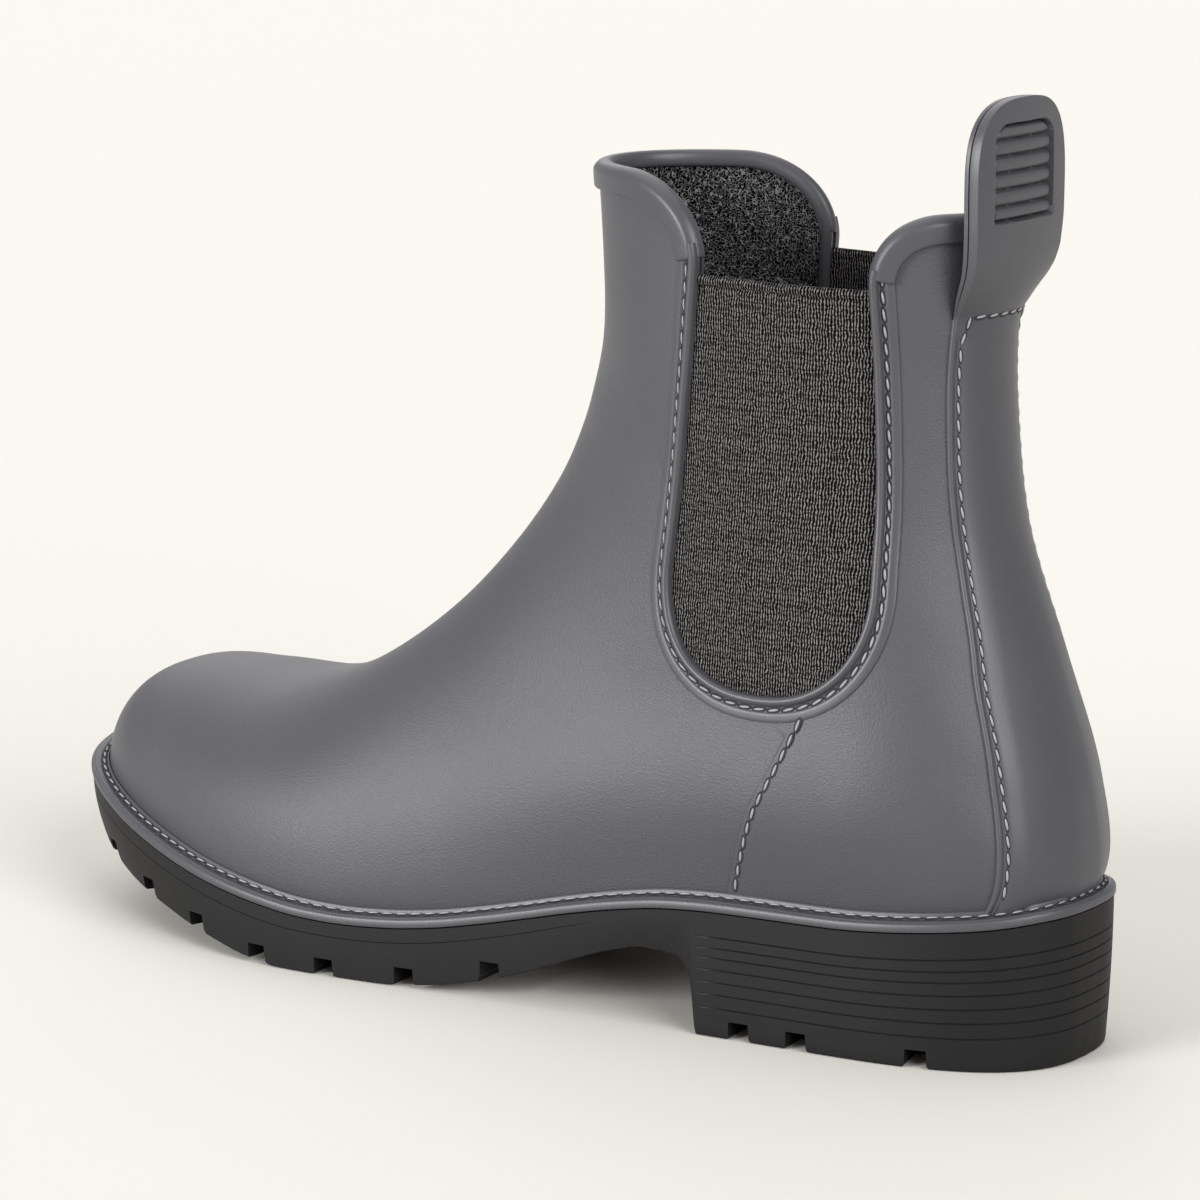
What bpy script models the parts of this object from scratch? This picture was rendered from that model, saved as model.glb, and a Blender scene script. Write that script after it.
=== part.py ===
"""Rain ankle boot for the left foot: a moulded upper with elastic side gussets on a lugged unit sole.

All tables are in millimetres, with x counted from the back of the heel towards the toe,
y towards the outer side of the foot and z up from the floor.
"""
import math

import bmesh
import bpy
import numpy as np
from mathutils import Vector
from mathutils.bvhtree import BVHTree

MM = 0.001
GAP = 0.3                 # clearance between two pieces that meet
SEATED = 0.4              # clearance under a band laid on the upper
WALL = 2.2                # wall of the upper
WELT_HEIGHT = 4.0
WELT_LIP = 2.2            # height of the welt's outer edge
OVERHANG_HEEL = 5.0       # sole beyond the upper's edge
OVERHANG_TOE = 4.7
SOLE_STEP = 0.4           # sole side behind the welt's edge
INSOLE = 2.6
INSOLE_ROOM = (2.8, 2.8)   # clearance to the upper's wall at the heel and at the toe
GUSSET_SHEET = 1.5
GUSSET_RECESS = 0.7

# the last: one row for each section, from the toe tip over the instep to the collar
LAST_COLUMNS = ("low_x", "low_z", "ridge_x", "ridge_z", "half_outer", "half_inner",
                "widest", "power_low", "power_top", "centre_y")
LAST_ROWS = [
    (264.0, 8, 271.0, 24.0, 3.5, 3.5, 0.50, 2.20, 2.20, -6.0),
    (261.0, 8, 269.8, 34.0, 12.0, 12.0, 0.50, 2.20, 2.20, -6.0),
    (251.0, 5, 266.6, 45.0, 26.0, 26.0, 0.48, 2.20, 2.20, -5.2),
    (234.5, 1, 254.6, 55.2, 36.3, 35.3, 0.46, 2.30, 2.30, -4.2),
    (216.5, -2, 233.5, 59.2, 42.5, 40.5, 0.44, 2.40, 2.35, -2.5),
    (198.0, -4, 212.0, 58.4, 45.5, 43.5, 0.43, 2.40, 2.30, -1.0),
    (176.0, -4, 193.5, 63.0, 46.0, 44.0, 0.42, 2.40, 2.15, 0.0),
    (150.0, -2, 177.3, 72.8, 43.5, 42.5, 0.41, 2.40, 2.05, 0.6),
    (120.0, 0, 160.7, 86.3, 39.5, 39.0, 0.41, 2.30, 2.00, 0.6),
    (88.0, 4, 146.2, 102.0, 36.5, 36.5, 0.42, 2.40, 2.00, 0.3),
    (54.0, 10, 135.7, 117.0, 35.0, 34.5, 0.43, 2.60, 2.00, 0.0),
    (21.0, 18, 129.7, 130.0, 34.5, 34.0, 0.44, 2.70, 2.00, 0.0),
    (3.4, 34, 126.4, 141.0, 34.0, 33.0, 0.45, 2.60, 2.00, 0.0),
    (3.0, 56, 124.5, 150.0, 32.5, 31.5, 0.47, 2.30, 2.00, 0.0),
    (10.8, 82, 123.7, 159.0, 31.0, 30.0, 0.48, 2.10, 2.05, 0.0),
    (21.0, 111, 123.7, 168.0, 29.5, 29.0, 0.49, 2.10, 2.10, 0.0),
    (25.0, 141, 124.2, 177.0, 29.0, 29.0, 0.50, 2.15, 2.10, 0.0),
    (25.0, 164, 124.8, 184.5, 29.0, 29.0, 0.50, 2.20, 2.10, 0.0),
    (24.4, 190, 125.4, 194.0, 29.0, 29.0, 0.50, 2.20, 2.10, 0.0),
]
# height of the sole's top and of its tread along the foot
SEAT = [(-6, 34.0), (2, 33.2), (10, 32.0), (20, 30.9), (32, 29.8), (45, 29.0), (60, 28.8), (74, 28.6),
        (86, 27.8), (98, 25.9), (110, 23.3), (122, 20.3), (134, 17.4), (146, 15.0), (158, 13.5), (170, 12.9),
        (180, 13.2), (192, 14.5), (206, 16.6), (222, 19.7), (238, 23.6), (254, 28.3), (266, 32.0), (276, 35.0)]
TREAD = [(-6, 0), (78.6, 0), (80.2, 13.0), (84, 17.6), (92, 18.0), (100, 16.2), (112, 11.8), (122, 7.8),
         (132, 4.6), (142, 2.2), (152, 0.7), (162, 0), (186, 0), (196, 1.0), (206, 3.0), (222, 6.3), (238, 10.0),
         (254, 14.8), (266, 18.8), (276, 22.4)]
# how far the tread's edge stands inside the top edge
TAPER = [(-6, 1.2), (75, 1.2), (110, 0.6), (200, 0.8), (240, 1.8), (276, 3.2)]

# the side window: straight front and rear edges, a round bottom and a collar that flares away from it
WINDOW_FRONT = ((84.8, 170.0), (89.8, 103.0))
WINDOW_REAR = ((42.8, 168.0), (39.0, 102.0))
WINDOW_BOTTOM = 77.4
WINDOW_POWER = 2.3
FLARE_FRONT = (22.0, 17.3)
FLARE_REAR = (13.0, 13.4)
GUSSET_TOP = 167.0

# bands laid on the upper: distance from their own edge, height over the upper
TRIM_PROFILE = [(-0.9, SEATED), (-0.9, 1.2), (-0.3, 1.8), (0.7, 1.8), (1.3, 1.0), (1.8, 0.85),
                (4.3, 0.85), (4.7, SEATED), (2.2, SEATED), (0.4, SEATED)]
BINDING_PROFILE = [(4.6, SEATED), (4.5, 1.1), (3.0, 1.4), (0.4, 1.5), (-1.2, 0.6), (-1.6, -1.1),
                   (-1.2, -2.9), (0.6, -3.7), (2.2, -3.6), (2.2, -2.8), (-0.5, -2.8), (-0.5, SEATED),
                   (2.4, SEATED)]
BACK_STRIP = [(36, 22.2), (45, 22.6), (60, 21.8), (80, 19.8), (98, 17.0), (112, 15.3), (130, 14.5), (160, 13.4)]
BACK_STRIP_TOP = 157.5
BACK_STRIP_SHEET = 1.2

# the pull tab by height: half width, x of its rear face, sheet, share of the flat tab against the upper's curve
TAB_COLUMNS = ("z", "half", "rear_x", "sheet", "flat")
TAB_ROWS = [
    (158.2, 13.3, 22.0, 1.9, 0.0),
    (161.5, 13.6, 21.6, 2.1, 0.12),
    (165.5, 14.6, 21.0, 2.6, 0.40),
    (170.0, 16.0, 20.3, 3.1, 0.75),
    (175.0, 17.3, 19.7, 3.4, 1.0),
    (182.0, 18.2, 19.4, 3.4, 1.0),
    (192.0, 18.5, 19.4, 3.4, 1.0),
    (198.0, 17.9, 19.5, 3.4, 1.0),
    (202.5, 15.4, 19.6, 3.4, 1.0),
    (205.5, 11.3, 19.7, 3.3, 1.0),
    (207.0, 5.6, 19.8, 3.2, 1.0),
]
TAB_CURL = 0.0035
RECESS = (181.0, 202.0)   # grip recess on the tab, from and to
RECESS_SHARE = 0.67       # of the tab's half width
RECESS_DEPTH = 1.6
RIB_COUNT = 6
RIB_HEIGHT = 1.2

# sole side: lines round the heel and one along the forefoot
HEEL_LINES = 4
HEEL_LINE_RANGE = (0.19, 0.76)   # first and last line, shares of the sole's height from its top
LINE_DEPTH = 0.5
FORE_LINE = 0.33
NOTCH_X = (250.5, 232.5, 213, 193, 174, 153, 131, 68, 54, 26)
NOTCH_WIDE = 5.0
NOTCH_HIGH = 4.2
NOTCH_DEEP = 12.0

WELT_STATIONS = 46
END_CAPS = (22.0, 240.0)   # where the sole's round ends begin
CAP_STATIONS = 8
MIDDLE_STATIONS = 17
FOOT_ROWS, SHAFT_ROWS, AROUND = 30, 11, 24

COLOURS = {
    "upper": ((0.145, 0.145, 0.158), 0.48),
    "trim": ((0.135, 0.135, 0.148), 0.45),
    "gusset": ((0.040, 0.040, 0.043), 0.9),
    "sole": ((0.018, 0.018, 0.019), 0.6),
    "insole": ((0.030, 0.030, 0.032), 0.95),
}


def spline(rows, t):
    """Catmull-Rom curve through the rows of a table; t counts rows."""
    rows = np.asarray(rows, float)
    i = np.clip(np.floor(t).astype(int), 0, len(rows) - 2)
    f = (t - i)[:, None]
    p0, p1 = rows[np.maximum(i - 1, 0)], rows[i]
    p2, p3 = rows[i + 1], rows[np.minimum(i + 2, len(rows) - 1)]
    return 0.5 * (2 * p1 + (p2 - p0) * f + (2 * p0 - 5 * p1 + 4 * p2 - p3) * f ** 2
                  + (3 * p1 - p0 - 3 * p2 + p3) * f ** 3)


def smooth(table, x):
    """Monotone cubic curve through a table of (x, value)."""
    xs, zs = np.asarray(table, float).T
    x = np.clip(np.asarray(x, float), xs[0], xs[-1])
    h = np.diff(xs)
    d = np.diff(zs) / h
    m = np.zeros(len(xs))
    bend = d[:-1] * d[1:] > 0
    w1, w2 = 2 * h[1:] + h[:-1], h[1:] + 2 * h[:-1]
    safe = np.where(bend, d[:-1], 1), np.where(bend, d[1:], 1)
    m[1:-1] = np.where(bend, (w1 + w2) / (w1 / safe[0] + w2 / safe[1]), 0)
    m[0], m[-1] = d[0], d[-1]
    i = np.clip(np.searchsorted(xs, x) - 1, 0, len(h) - 1)
    s = (x - xs[i]) / h[i]
    return (zs[i] * (1 + 2 * s) * (1 - s) ** 2 + zs[i + 1] * s * s * (3 - 2 * s)
            + h[i] * s * (1 - s) * (m[i] * (1 - s) - m[i + 1] * s))


def pace(count):
    """Shares from 0 to 1, closer at both ends."""
    u = np.linspace(0, 1, count)
    return 0.45 * u + 0.275 * (1 - np.cos(math.pi * u))


def last(t, angle):
    """Points of the upper's outer face; angle runs from a section's low point over the outer side."""
    columns = dict(zip(LAST_COLUMNS, spline(LAST_ROWS, t).T[:, :, None]))
    c, s = np.cos(angle), np.sin(angle)
    power = np.where(c > 0, columns["power_low"], columns["power_top"])
    reach = np.abs(c) ** (2 / power)
    widest = columns["widest"]
    along = np.where(c > 0, widest * (1 - reach), widest + (1 - widest) * reach)
    half = np.where(s > 0, columns["half_outer"], columns["half_inner"])
    x = columns["low_x"] + (columns["ridge_x"] - columns["low_x"]) * along
    y = columns["centre_y"] + half * np.sign(s) * np.abs(s) ** (2 / power)
    z = columns["low_z"] + (columns["ridge_z"] - columns["low_z"]) * along
    return np.stack([x, y, z], -1)


def foot_range(lift):
    """First section that rises over the seat at the toe, and the one whose low point leaves it at the heel."""
    t = np.linspace(0, len(LAST_ROWS) - 1, 3001)
    ends = []
    for angle in (math.pi, 0.0):
        p = last(t, np.full((len(t), 1), angle))[:, 0]
        clear = p[:, 2] - smooth(SEAT, p[:, 0]) - lift
        k = int(np.argmax(clear >= 0))
        ends.append(t[k - 1] + (t[k] - t[k - 1]) * clear[k - 1] / (clear[k - 1] - clear[k]))
    return ends


def feather_angles(t, lift):
    """Angles on the outer and inner side at which each section meets the seat plus a lift."""
    fan = np.linspace(0, math.pi, 721)
    found = []
    for side in (1, -1):
        p = last(t, np.tile(side * fan, (len(t), 1)))
        clear = p[:, :, 2] - smooth(SEAT, p[:, :, 0]) - lift
        k = np.clip(len(fan) - np.argmax(clear[:, ::-1] < 0, axis=1), 1, len(fan) - 1)
        row = np.arange(len(t))
        low, high = clear[row, k - 1], clear[row, k]
        share = np.clip(low / np.where(np.abs(low - high) < 1e-9, 1, low - high), 0, 1)
        found.append(fan[k - 1] + (fan[k] - fan[k - 1]) * share)
    return found[0], 2 * math.pi - found[1]


def upper_grid(foot_rows, shaft_rows, around, lift):
    """Sections and angles of a grid from the toe to above the collar, and the row at which it closes."""
    toe, heel = foot_range(lift)
    fine = toe + (heel - toe) * 0.5 * (1 - np.cos(np.linspace(0, math.pi, 600)))
    edge = last(fine, feather_angles(fine, lift)[0][:, None])[:, 0]
    length = np.concatenate([[0], np.cumsum(np.linalg.norm(np.diff(edge, axis=0), axis=1))])
    t = np.interp(pace(foot_rows) * (length[-1] - 1.5) + 1.5, length, fine)
    t[-1] = heel
    t = np.concatenate([t, np.linspace(heel, len(LAST_ROWS) - 1, shaft_rows + 1)[1:]])
    left, right = feather_angles(t, lift)
    left[foot_rows - 1:], right[foot_rows - 1:] = 0.0, 2 * math.pi
    angle = left[:, None] + (right - left)[:, None] * np.linspace(0, 1, around + 1)
    return t, angle, foot_rows - 1


def face_normals(t, angle):
    """Outward unit normals of the upper's outer face."""
    ahead = last(np.clip(t + 0.05, 0, len(LAST_ROWS) - 1), angle) - last(np.maximum(t - 0.05, 0), angle)
    over = last(t, angle + 0.03) - last(t, angle - 0.03)
    normal = np.cross(ahead, over)
    normal /= np.linalg.norm(normal, axis=2, keepdims=True)
    points = last(t, angle)
    return normal if ((points - points.mean(axis=1, keepdims=True)) * normal).sum() > 0 else -normal


def outline(lift, grow_heel, grow_toe):
    """Plan outline of the upper at a lift over the seat, grown outwards: left and right (x, y) from heel to toe."""
    toe, heel = foot_range(lift)
    u = np.linspace(0, 1, 400)
    t = toe + (heel - toe) * (0.3 * u + 0.35 * (1 - np.cos(math.pi * u)))
    left, right = feather_angles(t, lift)
    ring = np.concatenate([last(t, left[:, None])[::-1, 0, :2], last(t, right[:, None])[1:-1, 0, :2]])
    step = np.linalg.norm(np.diff(ring, axis=0, append=ring[:1]), axis=1)
    ring = ring[step > 0.02]
    tangent = np.roll(ring, -2, 0) - np.roll(ring, 2, 0)
    normal = np.stack([tangent[:, 1], -tangent[:, 0]], -1)
    normal /= np.linalg.norm(normal, axis=1, keepdims=True)
    if ((ring - ring.mean(0)) * normal).sum() < 0:
        normal = -normal
    ring = ring + normal * np.interp(ring[:, 0], (80, 140), (grow_heel, grow_toe))[:, None]
    start, end = int(np.argmin(ring[:, 0])), int(np.argmax(ring[:, 0]))
    ring = np.roll(ring, -start, 0)
    end = (end - start) % len(ring)
    first, second = ring[:end + 1], np.concatenate([ring[end:], ring[:1]])[::-1]
    return (first, second) if first[:, 1].mean() > second[:, 1].mean() else (second, first)


def along(line, share):
    """Points of a line at shares of its length."""
    length = np.concatenate([[0], np.cumsum(np.linalg.norm(np.diff(line, axis=0), axis=1))])
    at = length[-1] * np.asarray(share)
    return np.stack([np.interp(at, length, line[:, 0]), np.interp(at, length, line[:, 1])], -1)


def stations(sides, extra=()):
    """Closed ring round an outline: even steps round its ends, the same x on both sides between them."""
    middle = np.sort(np.concatenate([np.linspace(*END_CAPS, MIDDLE_STATIONS), extra]))
    runs = []
    for side in sides:
        x, y = side.T
        between = np.stack([middle, np.interp(middle, x, y)], -1)
        heel = np.concatenate([side[x < END_CAPS[0]], between[:1]])
        toe = np.concatenate([between[-1:], side[x > END_CAPS[1]]])
        share = np.linspace(0, 1, CAP_STATIONS + 1)
        runs.append(np.concatenate([along(heel, share)[:-1], between, along(toe, share)[1:]]))
    return np.concatenate([runs[0], runs[1][-2:0:-1]])


def paced_ring(sides, count):
    """Closed ring along both sides of an outline, closer at its ends, from the heel over the left side."""
    runs = [along(side, pace(count)) for side in sides]
    return np.concatenate([runs[0], runs[1][-2:0:-1]])


SOLE_SIDES = outline(GAP, OVERHANG_HEEL, OVERHANG_TOE)
CENTRE = Vector((0.5 * (SOLE_SIDES[0][0, 0] + SOLE_SIDES[0][-1, 0]),
                 0.5 * (SOLE_SIDES[0][:, 1].max() + SOLE_SIDES[1][:, 1].min()), 0.0))


def finish_of(name):
    """Plain material of one colour and roughness."""
    material = bpy.data.materials.get(name)
    if material is None:
        colour, roughness = COLOURS[name]
        material = bpy.data.materials.new(name)
        material.use_nodes = True
        shader = material.node_tree.nodes["Principled BSDF"]
        shader.inputs["Base Color"].default_value = (*colour, 1.0)
        shader.inputs["Roughness"].default_value = roughness
        shader.inputs["Metallic"].default_value = 0.0
        material.diffuse_color = (*colour, 1.0)
    return material


def body(name, finish, points, faces):
    """Closed object from points in millimetres, centred over the sole."""
    mesh = bpy.data.meshes.new(name)
    mesh.from_pydata([(Vector(p) - CENTRE) * MM for p in points], [], faces)
    bm = bmesh.new()
    bm.from_mesh(mesh)
    bmesh.ops.remove_doubles(bm, verts=bm.verts, dist=1e-6)
    bmesh.ops.dissolve_degenerate(bm, edges=bm.edges, dist=1e-6)
    bmesh.ops.recalc_face_normals(bm, faces=bm.faces)
    bm.to_mesh(mesh)
    bm.free()
    item = bpy.data.objects.new(name, mesh)
    bpy.context.collection.objects.link(item)
    if finish:
        mesh.materials.append(finish_of(finish))
    return item


def guide(name, points, faces):
    """Cutter that is never drawn."""
    item = body(name, None, points, faces)
    item.hide_render = True
    item.display_type = 'WIRE'
    return item


def cut(item, cutter):
    """Takes a cutter out of an object."""
    change = item.modifiers.new(cutter.name, 'BOOLEAN')
    change.operation = 'DIFFERENCE'
    change.solver = 'EXACT'
    change.object = cutter


def sweep(name, finish, profiles, closed=False):
    """Body through a row of equal profiles."""
    count, size = len(profiles), len(profiles[0])
    points = [p for profile in profiles for p in profile]
    faces = []
    for i in range(count if closed else count - 1):
        for j in range(size):
            k, n = (i + 1) % count, (j + 1) % size
            faces.append((i * size + j, i * size + n, k * size + n, k * size + j))
    if not closed:
        faces.append(tuple(range(size)))
        faces.append(tuple(range((count - 1) * size, count * size)))
    return body(name, finish, points, faces)


def slab(name, finish, front, back, close=None):
    """Body between two grids of the same size; from row close on the first and last column are one."""
    rows, columns = front.shape[:2]
    points = np.concatenate([front.reshape(-1, 3), back.reshape(-1, 3)])
    half = rows * columns

    def at(i, j, side):
        return i * columns + j + side * half

    faces = []
    for i in range(rows - 1):
        for j in range(columns - 1):
            for side in (0, 1):
                faces.append((at(i, j, side), at(i, j + 1, side), at(i + 1, j + 1, side), at(i + 1, j, side)))
    for j in range(columns - 1):
        for i in (0, rows - 1):
            faces.append((at(i, j, 0), at(i, j + 1, 0), at(i, j + 1, 1), at(i, j, 1)))
    for i in range(rows - 1 if close is None else close):
        for j in (0, columns - 1):
            faces.append((at(i, j, 0), at(i + 1, j, 0), at(i + 1, j, 1), at(i, j, 1)))
    return body(name, finish, points, faces)


def surface_tree():
    """The upper's outer face as a fine search tree."""
    t, angle, _ = upper_grid(150, 80, 160, GAP)
    grid = last(t, angle)
    rows, columns = grid.shape[:2]
    points = [Vector(p) for p in grid.reshape(-1, 3)]
    faces = [(i * columns + j, (i + 1) * columns + j, (i + 1) * columns + j + 1, i * columns + j + 1)
             for i in range(rows - 1) for j in range(columns - 1)]
    return BVHTree.FromPolygons(points, faces)


FACE = surface_tree()


def meet(origin, direction):
    """Point and outward normal where a ray from outside meets the upper."""
    point, normal, _, _ = FACE.ray_cast(Vector(origin), Vector(direction))
    return point, normal if normal.dot(Vector(direction)) < 0 else -normal


def on_side(x, z, side):
    return meet((x, side * 200, z), (0, -side, 0))


def on_back(y, z):
    return meet((-200, y, z), (1, 0, 0))


def on_front(y, z):
    return meet((400, y, z), (-1, 0, 0))


def laid(point, normal, direction, profile):
    """Profile laid on the upper: distances run along its face, heights along its normal."""
    direction = (direction - normal * direction.dot(normal)).normalized()
    placed = []
    for distance, height in profile:
        at, face, _, _ = FACE.find_nearest(point + direction * max(distance, 0.0))
        face = face if face.dot(normal) > 0 else -face
        beyond = direction * min(distance, 0.0)
        placed.append(at + face * height + beyond)
    return placed


def window_line(count):
    """Side view of the window's edge from the front top round the bottom to the rear top."""
    (fx, fz), (fx2, fz2) = WINDOW_FRONT
    (rx, rz), (rx2, rz2) = WINDOW_REAR
    share = np.linspace(0, 1, count)[:-1, None]
    front = np.array((fx, fz)) + (np.array((fx2, fz2)) - np.array((fx, fz))) * share
    turn = np.linspace(0, math.pi, count + 4)
    c, s = np.cos(turn), np.sin(turn)
    middle, half = 0.5 * (fx2 + rx2), 0.5 * (fx2 - rx2)
    side_z = fz2 + (rz2 - fz2) * (1 - c) / 2
    round_x = middle + half * np.sign(c) * np.abs(c) ** (2 / WINDOW_POWER)
    round_z = side_z - (side_z - WINDOW_BOTTOM) * np.abs(s) ** (2 / WINDOW_POWER)
    rear = np.array((rx2, rz2)) + (np.array((rx, rz)) - np.array((rx2, rz2))) * np.linspace(0, 1, count)[1:, None]
    return np.concatenate([front, np.stack([round_x, round_z], -1), rear])


def into_window(line):
    """Unit directions in side view from a window's edge into the window."""
    tangent = np.gradient(line, axis=0)
    inward = np.stack([-tangent[:, 1], tangent[:, 0]], -1)
    inward /= np.linalg.norm(inward, axis=1, keepdims=True)
    middle = np.array((0.5 * (WINDOW_FRONT[1][0] + WINDOW_REAR[1][0]), 0.5 * (WINDOW_BOTTOM + GUSSET_TOP)))
    return inward * np.sign(((middle - line) * inward).sum(1))[:, None]


def flare(edge, size, way, count):
    """Side view of the collar as it rises from a window edge."""
    turn = np.linspace(0, math.pi / 2, count)
    x = edge[0] + way * size[0] * (1 - np.cos(turn))
    return np.stack([x, edge[1] + size[1] * np.sin(turn)], -1)


def make_upper():
    t, angle, close = upper_grid(FOOT_ROWS, SHAFT_ROWS, AROUND, GAP)
    grid = last(t, angle)
    inner = grid - WALL * face_normals(t, angle)
    for rows, columns in ((slice(0, 1), slice(None)), (slice(0, close + 1), slice(0, 1)),
                          (slice(0, close + 1), slice(-1, None))):
        edge, inside = grid[rows, columns], inner[rows, columns]
        inside[..., 2] = edge[..., 2] - smooth(SEAT, edge[..., 0]) + smooth(SEAT, inside[..., 0])
    upper = slab("upper", "upper", grid, inner, close)
    line = np.concatenate([
        [(200.0, 230.0), (200.0, WINDOW_FRONT[0][1] + FLARE_FRONT[1])],
        flare(WINDOW_FRONT[0], FLARE_FRONT, 1, 9)[::-1][:-1],
        window_line(9),
        flare(WINDOW_REAR[0], FLARE_REAR, -1, 8)[1:],
        [(-40.0, WINDOW_REAR[0][1] + FLARE_REAR[1]), (-40.0, 230.0)]])
    size = len(line)
    points = [(x, y, z) for y in (-120.0, 120.0) for x, z in line]
    faces = [tuple(range(size)), tuple(range(size, 2 * size))]
    faces += [(i, (i + 1) % size, size + (i + 1) % size, size + i) for i in range(size)]
    cut(upper, guide("window_cutter", points, faces))


def make_gusset(name, side):
    """Elastic sheet inside a window, a little below the upper's face."""
    line = window_line(9)
    line = line + 0.6 * into_window(line)
    low = int(np.argmin(line[:, 1]))
    front, rear = line[:low + 1][::-1], line[low:]
    turn = np.linspace(0, 1, 13)
    heights = line[low, 1] + 0.02 + (GUSSET_TOP - line[low, 1]) * turn ** 1.6
    outer, inner = [], []
    for z in heights:
        ahead = np.interp(z, front[:, 1], front[:, 0])
        behind = np.interp(z, rear[:, 1], rear[:, 0])
        points = [on_side(x, z, side) for x in np.linspace(behind, ahead, 9)]
        outer.append([p - n * GUSSET_RECESS for p, n in points])
        inner.append([p - n * (GUSSET_RECESS + GUSSET_SHEET) for p, n in points])
    slab(name, "gusset", np.array(outer), np.array(inner))


def make_gusset_trim(name, side):
    """Beaded band round a window."""
    line = window_line(9)
    line = line[(line[:, 1] < GUSSET_TOP + 1.5)]
    profiles = []
    for (x, z), (dx, dz) in zip(line, -into_window(line)):
        point, normal = on_side(x, z, side)
        profiles.append(laid(point, normal, Vector((dx, 0, dz)), TRIM_PROFILE))
    sweep(name, "trim", profiles)


def make_binding(name, edge, size, way, across):
    """Rolled binding over one end of the collar, from window to window."""
    top = edge[1] + size[1]
    rise = flare(edge, size, way, 9)
    rise = rise[(rise[:, 1] > edge[1] + 1.2) & (rise[:, 1] < top - 0.4)]
    path = [on_side(x, z, 1) for x, z in rise]
    corner = edge[0] + way * size[0]
    turn, _ = on_side(corner, top, 1)
    path += [across(y, top) for y in np.linspace(turn.y, -turn.y, 11)]
    path += [on_side(x, z, -1) for x, z in rise[::-1]]
    points = [p for p, _ in path]
    profiles = []
    for i, (point, normal) in enumerate(path):
        run = points[min(i + 1, len(path) - 1)] - points[max(i - 1, 0)]
        down = run.cross(normal)
        inward = Vector((way, 0, 0)) * 0.4 + Vector((0, 0, -1))
        if down.dot(inward) < 0:
            down = -down
        profiles.append(laid(point, normal, down, BINDING_PROFILE))
    sweep(name, "trim", profiles)


def make_back_strip():
    floor = float(smooth(SEAT, 12.0)) + WELT_HEIGHT + 2.6
    outer, inner = [], []
    for z in np.linspace(floor, BACK_STRIP_TOP, 16):
        half = float(np.interp(z, *np.array(BACK_STRIP).T))
        points = [on_back(y, z) for y in np.linspace(-half, half, 9)]
        outer.append([p + n * BACK_STRIP_SHEET for p, n in points])
        inner.append([p + n * (SEATED + 0.1) for p, n in points])
    slab("back_strip", "trim", np.array(outer), np.array(inner))


def make_pull_tab():
    """Tab that leaves the back strip, leans back over the binding and carries a ribbed grip."""
    rows = np.array(TAB_ROWS)
    low, high = RECESS
    pitch = (high - low) / RIB_COUNT
    steps = [low - 0.15]
    for i in range(RIB_COUNT):
        steps += [low + pitch * (i + 0.04), low + pitch * (i + 0.5)]
    steps += [high - 0.04 * pitch, high + 0.15]
    heights = np.sort(np.concatenate([rows[rows[:, 0] < low - 1, 0], rows[rows[:, 0] > high + 1, 0], steps]))
    edge = RECESS_SHARE + 0.01
    share = np.array((-1, -edge, -edge + 0.02, -edge / 2, 0, edge / 2, edge - 0.02, edge, 1.0))
    outer, inner = [], []
    for z in heights:
        half, rear, sheet, flat = (float(np.interp(z, rows[:, 0], rows[:, k])) for k in range(1, 5))
        back, front = [], []
        for v in share:
            y = v * half
            on, normal = on_back(y, min(z, 172.0))
            upper_x = on.x + normal.x * SEATED
            level = rear + TAB_CURL * y * y
            front_x = (1 - flat) * upper_x + flat * (level + sheet)
            back_x = front_x - sheet
            if abs(v) < RECESS_SHARE and low <= z <= high:
                back_x += RECESS_DEPTH - RIB_HEIGHT * abs(math.sin(math.pi * (z - low) / pitch))
            back.append((back_x, y, z))
            front.append((front_x, y, z))
        outer.append(back)
        inner.append(front)
    slab("pull_tab", "trim", np.array(outer), np.array(inner))


def make_welt():
    """Ledge round the foot of the upper, on the sole's top."""
    wall = [(lift, outline(lift, SEATED, SEATED)) for lift in (SEATED, WELT_HEIGHT)]
    rims = [(WELT_LIP + 1.2, outline(GAP, OVERHANG_HEEL - 1.4, OVERHANG_TOE - 1.4)),
            (WELT_LIP, SOLE_SIDES), (SEATED, SOLE_SIDES)]
    rings = []
    for height, sides in wall + rims:
        ring = paced_ring(sides, WELT_STATIONS)
        rings.append(np.column_stack([ring, smooth(SEAT, ring[:, 0]) + height]))
    sweep("welt", "trim", list(np.stack(rings, 1)), closed=True)


def side_rings():
    """Share of the sole's height, line depth at the heel and at the forefoot for each ring of its side."""
    rings = [(0.0, 0.0, 0.0)]
    for i in range(HEEL_LINES):
        first, final = HEEL_LINE_RANGE
        share = first + (final - first) * i / (HEEL_LINES - 1)
        fore = LINE_DEPTH if abs(share - FORE_LINE) < 0.1 else 0.0
        rings += [(share - 0.02, 0.0, 0.0), (share, LINE_DEPTH, fore)]
    return rings + [(1.0, 0.0, 0.0)]


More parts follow.
